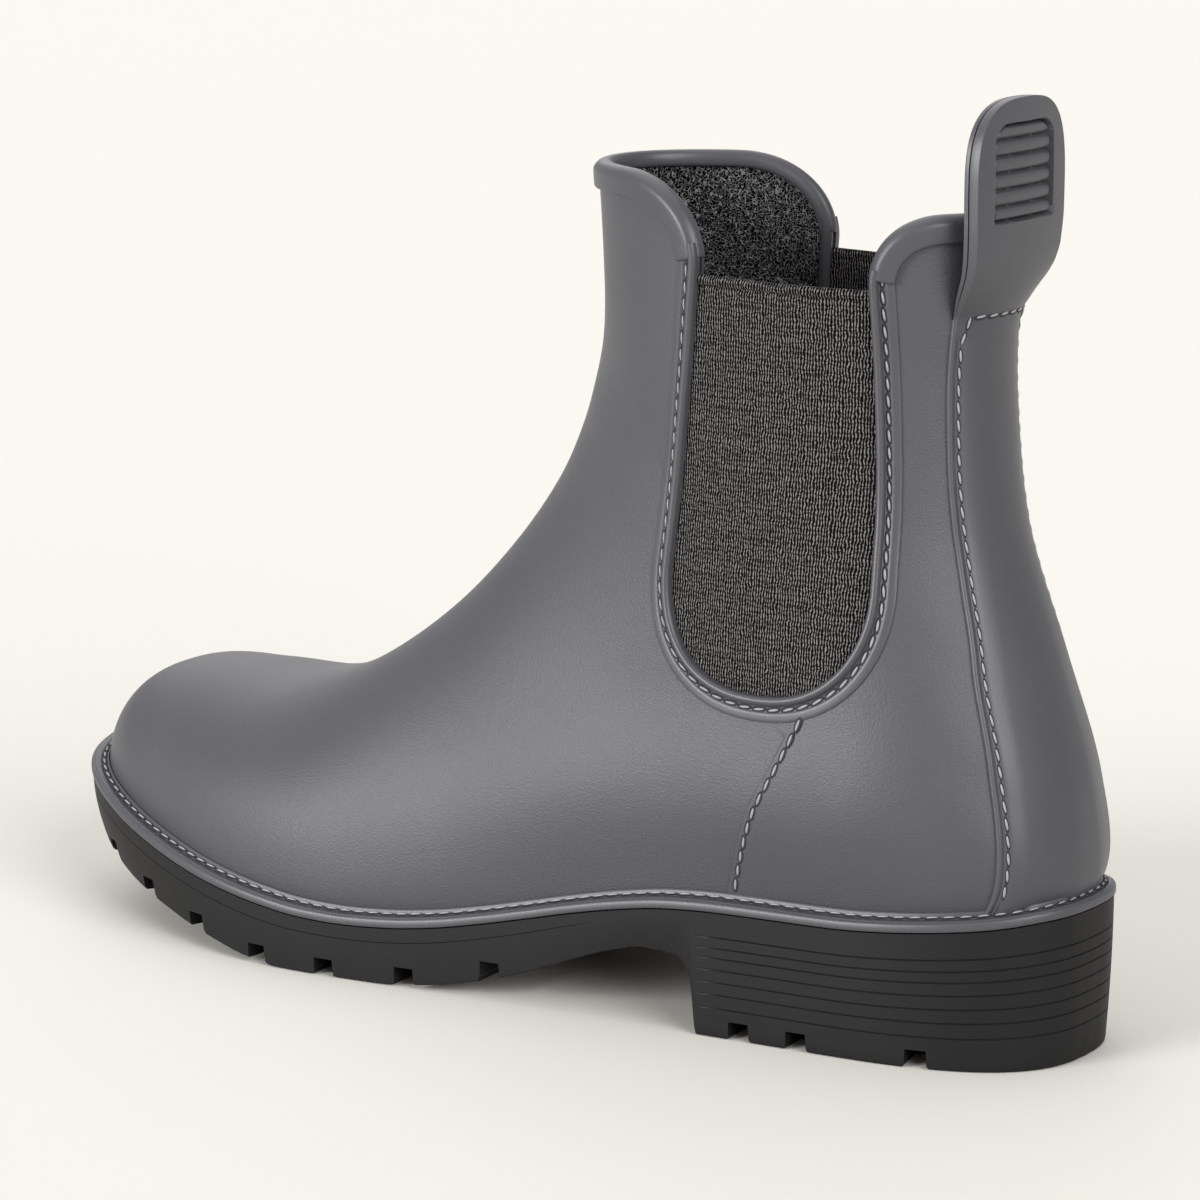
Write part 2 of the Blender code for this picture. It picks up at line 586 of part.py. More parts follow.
def make_outsole():
    sides = outline(GAP, OVERHANG_HEEL - SOLE_STEP, OVERHANG_TOE - SOLE_STEP)
    breast = [x for x, _ in TREAD[1:6]]
    ring = stations(sides, breast)
    tangent = np.roll(ring, -1, 0) - np.roll(ring, 1, 0)
    inward = np.stack([tangent[:, 1], -tangent[:, 0]], -1)
    inward /= np.linalg.norm(inward, axis=1, keepdims=True)
    if ((ring - ring.mean(0)) * inward).sum() > 0:
        inward = -inward
    top, bottom = smooth(SEAT, ring[:, 0]), smooth(TREAD, ring[:, 0])
    taper = smooth(TAPER, ring[:, 0])
    heel = np.interp(ring[:, 0], (70, 77), (1, 0))
    fore = np.interp(ring[:, 0], (100, 120), (0, 1))
    rings = []
    for share, heel_line, fore_line in side_rings():
        inset = taper * share ** 2 + heel * heel_line + fore * fore_line
        rings.append(np.column_stack([ring + inward * inset[:, None], top + (bottom - top) * share]))
    rings[0][:, 2], rings[-1][:, 2] = top, bottom
    size, count = len(ring), len(ring) // 2 + 1
    points = np.concatenate(rings)
    faces = []
    for k in range(len(rings) - 1):
        for i in range(size):
            n = (i + 1) % size
            faces.append((k * size + i, k * size + n, (k + 1) * size + n, (k + 1) * size + i))
    for base in (0, (len(rings) - 1) * size):
        for i in range(count - 1):
            left, right = i, (size - i) % size
            faces.append(tuple(base + v for v in dict.fromkeys((left, i + 1, size - i - 1, right))))
    outsole = body("outsole", "sole", points, faces)
    cut(outsole, make_notches(sides))


def make_notches(sides):
    """Boxes that notch the tread's edge on both sides."""
    points, faces = [], []
    for line, way in zip(sides, (1, -1)):
        for x in NOTCH_X:
            y = float(np.interp(x, line[:, 0], line[:, 1]))
            ahead = float(np.interp(x + 2, line[:, 0], line[:, 1]))
            along = np.array((2.0, ahead - y)) / math.hypot(2.0, ahead - y)
            out = np.array((-along[1], along[0])) * way
            z = float(smooth(TREAD, x))
            base = len(points)
            for height in (z - 4.0, z + NOTCH_HIGH):
                for wide, deep in ((-1, -NOTCH_DEEP), (1, -NOTCH_DEEP), (1, 6.0), (-1, 6.0)):
                    p = np.array((x, y)) + along * wide * NOTCH_WIDE / 2 + out * deep
                    points.append((p[0], p[1], height))
            faces += [tuple(base + v for v in face) for face in (
                (0, 1, 2, 3), (4, 5, 6, 7), (0, 1, 5, 4), (1, 2, 6, 5), (2, 3, 7, 6), (3, 0, 4, 7))]
    return guide("notch_cutter", points, faces)


def make_insole():
    ring = stations(outline(GAP, -(WALL + INSOLE_ROOM[0]), -(WALL + INSOLE_ROOM[1])))
    size, count = len(ring), len(ring) // 2 + 1
    base = smooth(SEAT, ring[:, 0]) + GAP
    points = np.concatenate([np.column_stack([ring, base]), np.column_stack([ring, base + INSOLE])])
    faces = [(i, (i + 1) % size, size + (i + 1) % size, size + i) for i in range(size)]
    for start in (0, size):
        for i in range(count - 1):
            loop = (i, i + 1, size - i - 1, (size - i) % size)
            faces.append(tuple(start + v for v in dict.fromkeys(loop)))
    body("insole", "insole", points, faces)


def main():
    for item in list(bpy.data.objects):
        bpy.data.objects.remove(item, do_unlink=True)
    make_upper()
    make_gusset("gusset_outer", 1)
    make_gusset("gusset_inner", -1)
    make_gusset_trim("gusset_trim_outer", 1)
    make_gusset_trim("gusset_trim_inner", -1)
    make_binding("collar_binding_front", WINDOW_FRONT[0], FLARE_FRONT, 1, on_front)
    make_binding("collar_binding_back", WINDOW_REAR[0], FLARE_REAR, -1, on_back)
    make_back_strip()
    make_pull_tab()
    make_welt()
    make_outsole()
    make_insole()


main()
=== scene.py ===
"""Finished surfaces of a rain ankle boot for the left foot, laid out as an add-on and run as a script.

Tables are in millimetres: x from the back of the heel towards the toe, y towards the outer side
of the foot and z up from the floor. Finished pieces are in metres, in the frame of the solids.
"""

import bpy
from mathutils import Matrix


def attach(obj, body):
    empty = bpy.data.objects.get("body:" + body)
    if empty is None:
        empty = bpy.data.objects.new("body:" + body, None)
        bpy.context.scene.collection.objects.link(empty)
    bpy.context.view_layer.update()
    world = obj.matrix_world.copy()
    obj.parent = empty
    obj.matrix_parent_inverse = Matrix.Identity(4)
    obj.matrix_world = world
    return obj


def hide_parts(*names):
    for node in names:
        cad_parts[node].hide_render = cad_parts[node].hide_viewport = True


bl_info = {
    "name": "Rain ankle boot",
    "version": (1, 0, 0),
    "blender": (4, 5, 0),
    "location": "View3D > Sidebar > Boot",
    "description": "Dresses the solids of a rain ankle boot with finished surfaces",
    "category": "Object",
}

import math

import bmesh
import bpy
import numpy as np
from bpy.props import FloatProperty, FloatVectorProperty, PointerProperty
from mathutils import Matrix, Vector
from mathutils.bvhtree import BVHTree
from mathutils.interpolate import poly_3d_calc

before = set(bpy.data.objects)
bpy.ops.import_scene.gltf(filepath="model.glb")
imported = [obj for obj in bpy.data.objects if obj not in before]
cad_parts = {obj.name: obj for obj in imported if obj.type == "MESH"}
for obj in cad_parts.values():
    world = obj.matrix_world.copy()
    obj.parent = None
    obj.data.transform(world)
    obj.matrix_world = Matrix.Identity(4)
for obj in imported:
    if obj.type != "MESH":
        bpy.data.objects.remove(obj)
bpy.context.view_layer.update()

MM = 0.001
GAP = 0.3                # clearance between two pieces that meet
BODY = "root"

# the last: one row for each section, from the toe tip over the instep to the collar
LAST_COLUMNS = ("low_x", "low_z", "ridge_x", "ridge_z", "half_outer", "half_inner",
                "widest", "power_low", "power_top", "centre_y")
LAST_ROWS = [
    (264.0, 8, 271.0, 24.0, 3.5, 3.5, 0.50, 2.20, 2.20, -6.0),
    (261.0, 8, 269.8, 34.0, 12.0, 12.0, 0.50, 2.20, 2.20, -6.0),
    (251.0, 5, 266.6, 45.0, 26.0, 26.0, 0.48, 2.20, 2.20, -5.2),
    (234.5, 1, 254.6, 55.5, 36.3, 35.3, 0.46, 2.30, 2.33, -4.2),
    (216.5, -2, 233.0, 58.25, 42.5, 40.5, 0.44, 2.40, 2.10, -2.5),
    (198.0, -4, 212.2, 58.8, 45.5, 43.5, 0.43, 2.40, 2.26, -1.0),
    (176.0, -4, 193.9, 63.7, 46.0, 44.0, 0.42, 2.40, 2.13, 0.0),
    (150.0, -2, 177.3, 73.0, 43.5, 42.5, 0.41, 2.40, 2.05, 0.6),
    (120.0, 0, 160.7, 86.3, 39.5, 39.0, 0.41, 2.30, 2.00, 0.6),
    (88.0, 4, 146.2, 102.0, 36.5, 36.5, 0.42, 2.40, 2.00, 0.3),
    (54.0, 10, 135.7, 117.0, 35.0, 34.5, 0.43, 2.60, 2.00, 0.0),
    (21.0, 18, 129.7, 130.0, 34.5, 34.0, 0.44, 2.70, 2.00, 0.0),
    (3.4, 34, 126.4, 141.0, 34.0, 33.0, 0.45, 2.60, 2.00, 0.0),
    (3.0, 56, 124.5, 150.0, 32.5, 31.5, 0.47, 2.30, 2.00, 0.0),
    (10.8, 82, 123.7, 159.0, 31.0, 30.0, 0.48, 2.10, 2.05, 0.0),
    (21.0, 111, 123.7, 168.0, 29.5, 29.0, 0.49, 2.10, 2.10, 0.0),
    (25.0, 141, 124.2, 177.0, 29.0, 29.0, 0.50, 2.15, 2.10, 0.0),
    (25.0, 164, 124.8, 184.5, 29.0, 29.0, 0.50, 2.20, 2.10, 0.0),
    (24.4, 190, 125.4, 194.0, 29.0, 29.0, 0.50, 2.20, 2.10, 0.0),
]
# height of the sole's top and of its tread along the foot, and the taper of its side
SEAT = [
    (-6, 34.0), (2, 33.2), (10, 32.0), (20, 30.9), (32, 29.8), (45, 29.0), (60, 28.8), (74, 28.6),
    (86, 27.8), (98, 25.9), (110, 23.3), (122, 20.3), (134, 17.4), (146, 15.0), (158, 13.5),
    (170, 12.9), (180, 13.2), (192, 14.5), (206, 16.6), (222, 19.7), (238, 23.6), (254, 28.3),
    (266, 32.0), (276, 35.0)]
TREAD = [
    (-6, 0), (78.6, 0), (80.2, 13.0), (84, 17.6), (92, 18.0), (100, 16.2), (112, 11.8), (122, 7.8),
    (132, 4.6), (142, 2.2), (152, 0.7), (162, 0), (186, 0), (196, 1.0), (206, 3.0), (222, 6.3),
    (238, 10.0), (254, 14.8), (266, 18.8), (276, 22.4)]
TAPER = [(-6, 1.2), (75, 1.2), (110, 0.6), (200, 0.8), (240, 1.8), (276, 3.2)]
SWELL = 2.2              # roundness of the side wall, from just over the sole to under the window
SWELL_LIFT, SWELL_TOP = 5.5, 80.0
SWELL_REAR, SWELL_FRONT = (17.0, 44.0), (170.0, 110.0)
OVERHANG = (5.0, 4.7)    # sole beyond the upper's edge, at the heel and at the toe
OVERHANG_CHANGE = (80.0, 140.0)    # where the heel's overhang passes into the toe's
SOLE_STEP = 0.4          # sole side behind the welt's edge
UPPER_GRID = (250, 161)
SKIN_GRID = (300, 181)

# the side window and the collar that flares away from it
WINDOW_FRONT = ((84.8, 170.0), (89.8, 103.0))
WINDOW_REAR = ((42.8, 168.0), (39.0, 102.0))
WINDOW_BOTTOM = 77.4
WINDOW_POWER = 2.3
FLARE_FRONT = (22.0, 17.3)
FLARE_REAR = (13.0, 13.4)
GUSSET_TOP = 167.0
GUSSET_DEPTH = (0.7, 2.0)    # outer and inner face of the elastic below the upper's face
GUSSET_TUCK = 1.2            # elastic hidden behind the window's edge
GUSSET_GRID = (150, 49)      # rows up and points across
HEM = 1.9                    # height of the elastic's hem
HEM_ROWS = 22
HEM_FOLD, HEM_GROOVE, HEM_LIP = 0.45, 0.35, 0.7    # its thickness, the groove under it, its rounded top
HEM_TILT = 0.025             # rise of the hem towards the front
HEM_TILT_MIDDLE, HEM_TILT_FROM = 64.0, 130.0
CUT_REAR, CUT_FRONT, CUT_TOP = -40.0, 200.0, 230.0    # reach of the cut over the collar

# bands laid on the upper: distance from their own edge, height over the upper
TRIM = [
    (-0.95, -0.9), (-1.0, 0.4), (-0.88, 1.0), (-0.45, 1.42), (0.05, 1.52), (0.5, 1.36), (0.8, 1.0),
    (0.96, 0.55), (1.08, 0.24), (1.3, 0.14), (1.85, 0.1), (2.35, 0.14), (2.55, 0.3), (2.75, 0.4),
    (3.2, 0.43), (3.9, 0.42), (4.35, 0.38), (4.56, 0.28), (4.66, 0.06), (4.66, -0.6)]
TRIM_SEAM = (1.85, 0.16)
PIPING = [(-0.7, -1.9), (-0.75, -2.7), (-0.3, -3.2), (0.5, -3.4), (1.4, -3.2), (2.0, -2.7), (2.1, -1.9)]
BINDING = [
    (3.9, -0.4), (3.92, 0.36), (4.42, 0.4), (4.58, 0.58), (4.62, 0.86), (4.52, 1.1), (4.3, 1.22),
    (3.9, 1.27), (3.0, 1.3), (1.8, 1.31), (0.9, 1.3), (0.45, 1.24), (0.1, 1.06), (-0.4, 0.66),
    (-0.85, 0.18), (-1.15, -0.4), (-1.32, -1.0), (-1.36, -1.7), (-1.2, -2.35), (-0.8, -2.85),
    (-0.2, -3.15), (0.7, -3.25), (1.6, -3.2), (2.2, -3.05), (2.4, -2.6), (2.3, -2.2), (1.0, -1.0)]
BINDING_START = 1.2          # height of the binding's ends over the window's corner
BINDING_STATIONS = 170
BINDING_PASSES = 6           # times its line is evened out
# quarter seam: its line in side view, and the height of the lapped panel by distance behind it
QUARTER_SEAM = [(53.0, 78.4), (59.6, 64.2), (65.1, 53.5), (70.1, 40.4), (73.6, 29.0)]
LAP = [(0, 0), (0.16, 0.3), (0.42, 0.4), (1.2, 0.42), (4.0, 0.34), (9.0, 0.12), (14.0, 0)]
LAP_SCORES = (0.0, 0.16, 0.42, 1.2)
LAP_SEAM = 1.7           # stitches behind the seam
LAP_STITCHES = (0.25, 3.5)    # rows of the seam between which they run
LAP_TOP = 82.0           # the panel is not lapped above this height
LAP_FADE = (76.0, 63.0)  # heights between which the lap grows to its full rise
STRIP_HALF = [(36, 22.2), (45, 22.6), (60, 21.8), (80, 19.8), (98, 17.0), (112, 15.3), (130, 14.5),
              (160, 13.4)]
STRIP_EDGE = [(-0.05, -0.8), (0.0, 0.3), (0.12, 0.72), (0.4, 0.98), (0.8, 1.05), (1.15, 0.95), (1.35, 0.74),
              (1.5, 0.68), (1.65, 0.76), (1.9, 0.92), (2.2, 0.86), (2.55, 0.8), (2.95, 0.88), (3.4, 1.02),
              (4.2, 1.08), (6.0, 1.1), (8.5, 1.1)]
STRIP_SEAM = (2.55, 0.8)
STRIP_TURN = 1.6         # the strip's inner half is narrower
STRIP_RANGE = (35.2, 160.5)
STRIP_STATIONS = 110
STRIP_UNDER = 0.8        # depth of its back below the upper's face

# the pull tab by height: half width, x of its rear face, thickness of its sheet, and how far it has
# passed from the upper's curve into a flat tab
TAB_COLUMNS = ("z", "half", "rear_x", "sheet", "flat")
TAB_ROWS = [
    (156.0, 13.4, 22.2, 0.9, 0.0),
    (160.5, 13.8, 21.8, 1.25, 0.12),
    (163.0, 14.7, 21.4, 1.9, 0.36),
    (165.5, 15.7, 21.0, 2.5, 0.6),
    (168.0, 16.6, 20.6, 2.9, 0.8),
    (171.0, 17.3, 20.2, 3.2, 0.94),
    (175.0, 17.9, 19.8, 3.4, 1.0),
    (182.0, 18.4, 19.4, 3.4, 1.0),
    (188.0, 18.5, 19.4, 3.4, 1.0),
    (208.0, 18.5, 19.7, 3.3, 1.0),
]
TAB_ROUND = (188.0, 19.1, 2.9)    # where the tab's top begins to round, its height and its power
TAB_CURL = 0.0035
TAB_HANG = 172.0         # above this height the tab stands free of the upper
TAB_CLEAR = 0.2          # tab over the upper where it lies on it
# layers of the sheet: from and to as shares of its thickness, inset, softness of the rim, grid
TAB_LAYERS = [
    (0.0, 0.6, 0.0, 0.5, (91, 220)),
    (0.6, 0.72, 0.4, 0.12, (41, 50)),
    (0.72, 1.0, 0.1, 0.5, (41, 50)),
]
RECESS = (181.0, 202.0)
RECESS_HALF = 12.4
RECESS_DEPTH = 2.0
RECESS_ROUND = (5.0, 0.8)    # radius of its upper and lower corners
RECESS_WALL = 0.45
RIB_COUNT = 6
RIB_HEIGHT = 1.5
RIB_POWER = 3.5
RIB_ENDS = (0.4, 1.1)        # distance from the recess's edge in which a rib rises
TAB_SEAM = 161.0

# welt: share of the way from the upper to the outer edge, height over the seat as a share of its top
WELT = [
    (0.02, 0.1), (0.0, 0.9), (0.03, 0.99), (0.07, 1.02), (0.11, 0.99), (0.145, 0.9), (0.17, 0.78),
    (0.21, 0.77), (0.3, 0.755), (0.39, 0.73), (0.43, 0.67), (0.47, 0.7), (0.55, 0.695), (0.7, 0.68),
    (0.78, 0.66), (0.82, 0.6), (0.86, 0.6), (0.91, 0.58), (0.96, 0.52), (0.99, 0.42), (1.0, 0.3),
    (1.0, 0.2), (0.98, 0.12), (0.93, 0.08)]
WELT_SEAM = (0.3, 0.77)
WELT_STATIONS = 260

# sole side: lines round the heel and one along the forefoot, shares of its height from the top
HEEL_LINES = (0.19, 0.275, 0.355, 0.45, 0.55, 0.65, 0.76)
FORE_LINE = 0.245
LINE_HALF = 0.0065
LINE_SECTION = ((-1.7, 0), (-1, 0), (-0.4, 0.8), (0, 1), (0.4, 0.8), (1, 0), (1.7, 0))
HEEL_FADE, FORE_FADE = (79.5, 70.0), (100.0, 120.0)    # x where the lines begin and have their full depth
SOLE_EDGE = 0.6              # rounding of the tread's edge
SOLE_EDGE_SHARE = 0.2        # and its limit as a share of the sole's height
# notches and chevrons: half widths over their own half, and heights over the tread, up one side
NOTCH_X = (250.5, 232.5, 213, 193, 174, 153, 131, 68, 54, 26)
NOTCH_HALF, NOTCH_DEEP, NOTCH_OVER = 2.5, 12.0, 6.0    # half width, reach inside and beyond the edge
NOTCH_EDGE = [(0.5, -4.0), (0.5, 0.0), (0.05, 0.6), (-0.1, 4.2)]
CHEVRON_X = (239, 221, 202, 183, 163, 61, 40, 15)
CHEVRON_EDGE = [(1.4, -4.0), (1.1, 1.8)]
CHEVRON_MARGIN, CHEVRON_SPLIT, CHEVRON_SWEEP = 17.0, 2.5, 6.0
END_CAPS = (22.0, 240.0)     # where the sole's round ends begin
CAP_STATIONS, SOLE_STATIONS = 26, 150
BREAST = ((78.4, 80.4, 9), (80.6, 86.0, 12))    # closer stations at the heel's breast
BREAST_ROOM = (77.9, 86.5)
# footbed: clearance from the wall, rounding of its edge, cupping and the width at which it cups fully
INSOLE_CLEAR, INSOLE_EDGE, INSOLE_CUP, INSOLE_WIDE = 0.4, 0.8, 1.2, 40.0
# a stitch: lean in degrees, lift of its thread, and the thread's height as a share of its width
STITCH_LEAN, STITCH_LIFT, STITCH_ROUND = 7.0, 0.04, 1.1
# each stitch lies on a dark oval that paints the shade round it
STITCH_SHADE = (1.06, 2.4, 0.34)    # length in pitches, width in threads, and height

# camera: the view from behind on the outer side
CAMERA_AT = (-446.95, 829.83, 297.38)
FLOOR_HALF, FLOOR_DROP = 9.0, 0.0001    # metres
# sun lamps: degrees round the boot and over the floor, width in degrees, share of the lamp's strength
LIGHT_COLUMNS = ("name", "azimuth", "elevation", "spread", "share")
LIGHTS = [
    ("key", 155.0, 15.0, 30.0, 1.3),
    ("rear", 250.0, 26.0, 40.0, 0.95),
    ("back", 60.0, 70.0, 60.0, 0.36),
    ("rim", 38.0, 28.0, 34.0, 0.12),
]


def length(name, text, size):
    """A length property, given in millimetres and kept in metres."""
    return FloatProperty(name=name, description=text, default=size * MM, min=0.0, unit='LENGTH',
                         precision=5)


def colour(name, text, value):
    """A colour property, in linear light."""
    return FloatVectorProperty(name=name, description=text, default=value, size=3, min=0.0, max=1.0,
                               subtype='COLOR')


class BootSizes(bpy.types.PropertyGroup):
    """Sizes of the boot's small work."""
    wall: length("Wall", "Thickness of the moulded upper", 2.2)
    welt_top: length("Welt top", "Height of the welt's inner lip over the sole", 4.0)
    stitch: length("Stitch", "Length of a stitch", 2.7)
    stitch_gap: length("Stitch gap", "Space between two stitches", 1.0)
    thread: length("Thread", "Width of the sewing thread", 0.62)
    heel_line: length("Heel line", "Depth of the lines on the sole's side", 0.3)
    insole: length("Insole", "Thickness of the footbed", 2.6)
    grain: length("Grain", "Size of the rubber's grain", 0.42)
    knit: length("Knit", "Pitch of the elastic's knit", 0.66)
    felt: length("Felt", "Size of the lining's tufts", 0.48)


class BootColours(bpy.types.PropertyGroup):
    """Colours of the boot's materials."""
    upper: colour("Upper", "Grey of the moulded upper", (0.0455, 0.0453, 0.0517))
    trim: colour("Trim", "Grey of bindings, strips and welt", (0.0445, 0.0443, 0.0505))
    sole: colour("Sole", "Black of the sole", (0.0055, 0.0055, 0.0058))
    knit_low: colour("Knit ground", "Dark between the elastic's loops", (0.0006, 0.0006, 0.0006))
    knit_high: colour("Knit loops", "Light of the elastic's loops", (0.134, 0.131, 0.127))
    felt_low: colour("Felt ground", "Dark between the lining's tufts", (0.0004, 0.0004, 0.0004))
    felt_high: colour("Felt tufts", "Light of the lining's tufts", (0.21, 0.208, 0.213))
    thread: colour("Thread", "Pale grey of the sewing thread", (0.22, 0.22, 0.232))


class BootStage(bpy.types.PropertyGroup):
    """Floor, light and camera."""
    floor: colour("Floor", "Cream of the floor", (0.547, 0.533, 0.492))
    sky: FloatProperty(name="Sky", description="Strength of the light all round", default=0.56, min=0.0)
    lamp: FloatProperty(name="Lamp", description="Strength of the main light", default=3.14, min=0.0)
    lens: FloatProperty(name="Lens", description="Focal length on a 36 mm sensor", default=135.0)
    yaw: FloatProperty(name="Yaw", description="Turn of the camera from the side view towards the heel",
                       default=math.radians(34.77), subtype='ANGLE')
    pitch: FloatProperty(name="Pitch", description="Tilt of the camera below the horizon",
                         default=math.radians(11.83), subtype='ANGLE')


def mm(name):
    """A size of the boot in millimetres."""
    return getattr(bpy.context.scene.boot_sizes, name) / MM


def spline(rows, t):
    """Smooth curve through the rows of a table; t counts rows and may have any shape."""
    rows = np.asarray(rows, float)
    t = np.asarray(t, float)
    i = np.clip(np.floor(t).astype(int), 0, len(rows) - 2)
    f = (t - i)[..., None]
    p0, p1 = rows[np.maximum(i - 1, 0)], rows[i]
    p2, p3 = rows[i + 1], rows[np.minimum(i + 2, len(rows) - 1)]
    return 0.5 * (2 * p1 + (p2 - p0) * f + (2 * p0 - 5 * p1 + 4 * p2 - p3) * f ** 2
                  + (3 * p1 - p0 - 3 * p2 + p3) * f ** 3)


def smooth(table, x):
    """Monotone cubic curve through a table of (x, value)."""
    xs, zs = np.asarray(table, float).T
    x = np.clip(np.asarray(x, float), xs[0], xs[-1])
    h = np.diff(xs)
    d = np.diff(zs) / h
    m = np.zeros(len(xs))
    bend = d[:-1] * d[1:] > 0
    w1, w2 = 2 * h[1:] + h[:-1], h[1:] + 2 * h[:-1]
    safe = np.where(bend, d[:-1], 1), np.where(bend, d[1:], 1)
    m[1:-1] = np.where(bend, (w1 + w2) / (w1 / safe[0] + w2 / safe[1]), 0)
    m[0], m[-1] = d[0], d[-1]
    i = np.clip(np.searchsorted(xs, x) - 1, 0, len(h) - 1)
    s = (x - xs[i]) / h[i]
    return (zs[i] * (1 + 2 * s) * (1 - s) ** 2 + zs[i + 1] * s * s * (3 - 2 * s)
            + h[i] * s * (1 - s) * (m[i] * (1 - s) - m[i + 1] * s))


def step(low, high, x):
    """Soft step from 0 at low to 1 at high."""
    s = np.clip((np.asarray(x, float) - low) / (high - low), 0, 1)
    return s * s * (3 - 2 * s)


def travelled(line):
    """Share of a line's length at each of its points."""
    run = np.concatenate([[0], np.cumsum(np.linalg.norm(np.diff(line, axis=0), axis=1))])
    return run / run[-1]


def along(line, share):
    """Points of a line at shares of its length."""
    at = travelled(line)
    return np.stack([np.interp(share, at, line[:, k]) for k in range(line.shape[1])], -1)


def swell(x, z):
    """How far the side wall rounds out beyond its section between the sole and the window."""
    low = smooth(SEAT, x) + SWELL_LIFT
    share = np.clip((np.asarray(z, float) - low) / np.maximum(SWELL_TOP - low, 1.0), 0, 1)
    return SWELL * np.sin(math.pi * share ** 0.85) ** 2 * step(*SWELL_REAR, x) * step(*SWELL_FRONT, x)


def last(t, angle):
    """Points of the upper's outer face; angle runs from a section's low point over the outer side."""
    t, angle = np.broadcast_arrays(np.asarray(t, float), np.asarray(angle, float))
    column = dict(zip(LAST_COLUMNS, np.moveaxis(spline(LAST_ROWS, t), -1, 0)))
    c, s = np.cos(angle), np.sin(angle)
    power = np.where(c > 0, column["power_low"], column["power_top"])
    reach = np.abs(c) ** (2 / power)
    widest = column["widest"]
    rise = np.where(c > 0, widest * (1 - reach), widest + (1 - widest) * reach)
    half = np.where(s > 0, column["half_outer"], column["half_inner"])
    x = column["low_x"] + (column["ridge_x"] - column["low_x"]) * rise
    y = column["centre_y"] + half * np.sign(s) * np.abs(s) ** (2 / power)
    z = column["low_z"] + (column["ridge_z"] - column["low_z"]) * rise
    return np.stack([x, y + np.sign(s) * s * s * swell(x, z), z], -1)


def foot_range(lift):
    """First section over the seat at the toe, and the one whose low point leaves it at the heel."""
    t = np.linspace(0, len(LAST_ROWS) - 1, 3001)
    ends = []
    for angle in (math.pi, 0.0):
        p = last(t, angle)
        clear = p[:, 2] - smooth(SEAT, p[:, 0]) - lift
        k = int(np.argmax(clear >= 0))
        ends.append(t[k - 1] + (t[k] - t[k - 1]) * clear[k - 1] / (clear[k - 1] - clear[k]))
    return ends


def feather(lift, count=500):
    """Sections from toe to heel, and the angles on both sides at which they meet the seat plus a lift."""
    toe, heel = foot_range(lift)
    u = np.linspace(0, 1, count)
    t = toe + (heel - toe) * (0.3 * u + 0.35 * (1 - np.cos(math.pi * u)))
    fan = np.linspace(0, math.pi, 721)
    found = []
    for way in (1, -1):
        p = last(t[:, None], way * fan)
        clear = p[..., 2] - smooth(SEAT, p[..., 0]) - lift
        k = np.clip(len(fan) - np.argmax(clear[:, ::-1] < 0, axis=1), 1, len(fan) - 1)
        row = np.arange(count)
        low, high = clear[row, k - 1], clear[row, k]
        share = np.clip(low / np.where(np.abs(low - high) < 1e-9, 1, low - high), 0, 1)
        found.append(fan[k - 1] + (fan[k] - fan[k - 1]) * share)
    return t, found[0], 2 * math.pi - found[1]


def outline(lift, grow_heel, grow_toe):
    """Plan outline of the upper at a lift over the seat, grown outwards: both sides from heel to toe."""
    t, left, right = feather(lift, 400)
    ring = np.concatenate([last(t, left)[::-1, :2], last(t, right)[1:-1, :2]])
    gap = np.linalg.norm(np.diff(ring, axis=0, append=ring[:1]), axis=1)
    ring = ring[gap > 0.02]
    tangent = np.roll(ring, -2, 0) - np.roll(ring, 2, 0)
    normal = np.stack([tangent[:, 1], -tangent[:, 0]], -1)
    normal /= np.linalg.norm(normal, axis=1, keepdims=True)
    if ((ring - ring.mean(0)) * normal).sum() < 0:
        normal = -normal
    ring = ring + normal * np.interp(ring[:, 0], OVERHANG_CHANGE, (grow_heel, grow_toe))[:, None]
    start, end = int(np.argmin(ring[:, 0])), int(np.argmax(ring[:, 0]))
    ring = np.roll(ring, -start, 0)
    end = (end - start) % len(ring)
    first, second = ring[:end + 1], np.concatenate([ring[end:], ring[:1]])[::-1]
    return (first, second) if first[:, 1].mean() > second[:, 1].mean() else (second, first)


SOLE_SIDES = outline(GAP, *OVERHANG)
CENTRE = np.array((0.5 * (SOLE_SIDES[0][0, 0] + SOLE_SIDES[0][-1, 0]),
                   0.5 * (SOLE_SIDES[0][:, 1].max() + SOLE_SIDES[1][:, 1].min()), 0.0))


def upper_face(rows, columns):
    """Sections and angles of a grid over the upper, in even steps along its lower edge and up its back."""
    t, left, right = feather(GAP)
    shaft = np.linspace(t[-1], len(LAST_ROWS) - 1, 300)[1:]
    left[-1], right[-1] = 0.0, 2 * math.pi
    t = np.concatenate([t, shaft])
    left = np.concatenate([left, np.zeros(len(shaft))])
    right = np.concatenate([right, np.full(len(shaft), 2 * math.pi)])
    section = np.interp(np.linspace(0, 1, rows), travelled(last(t, left)), t)[:, None]
    start, end = np.interp(section, t, left), np.interp(section, t, right)
    across = np.linspace(0, 1, columns)
    return section + 0 * across, start + (end - start) * across


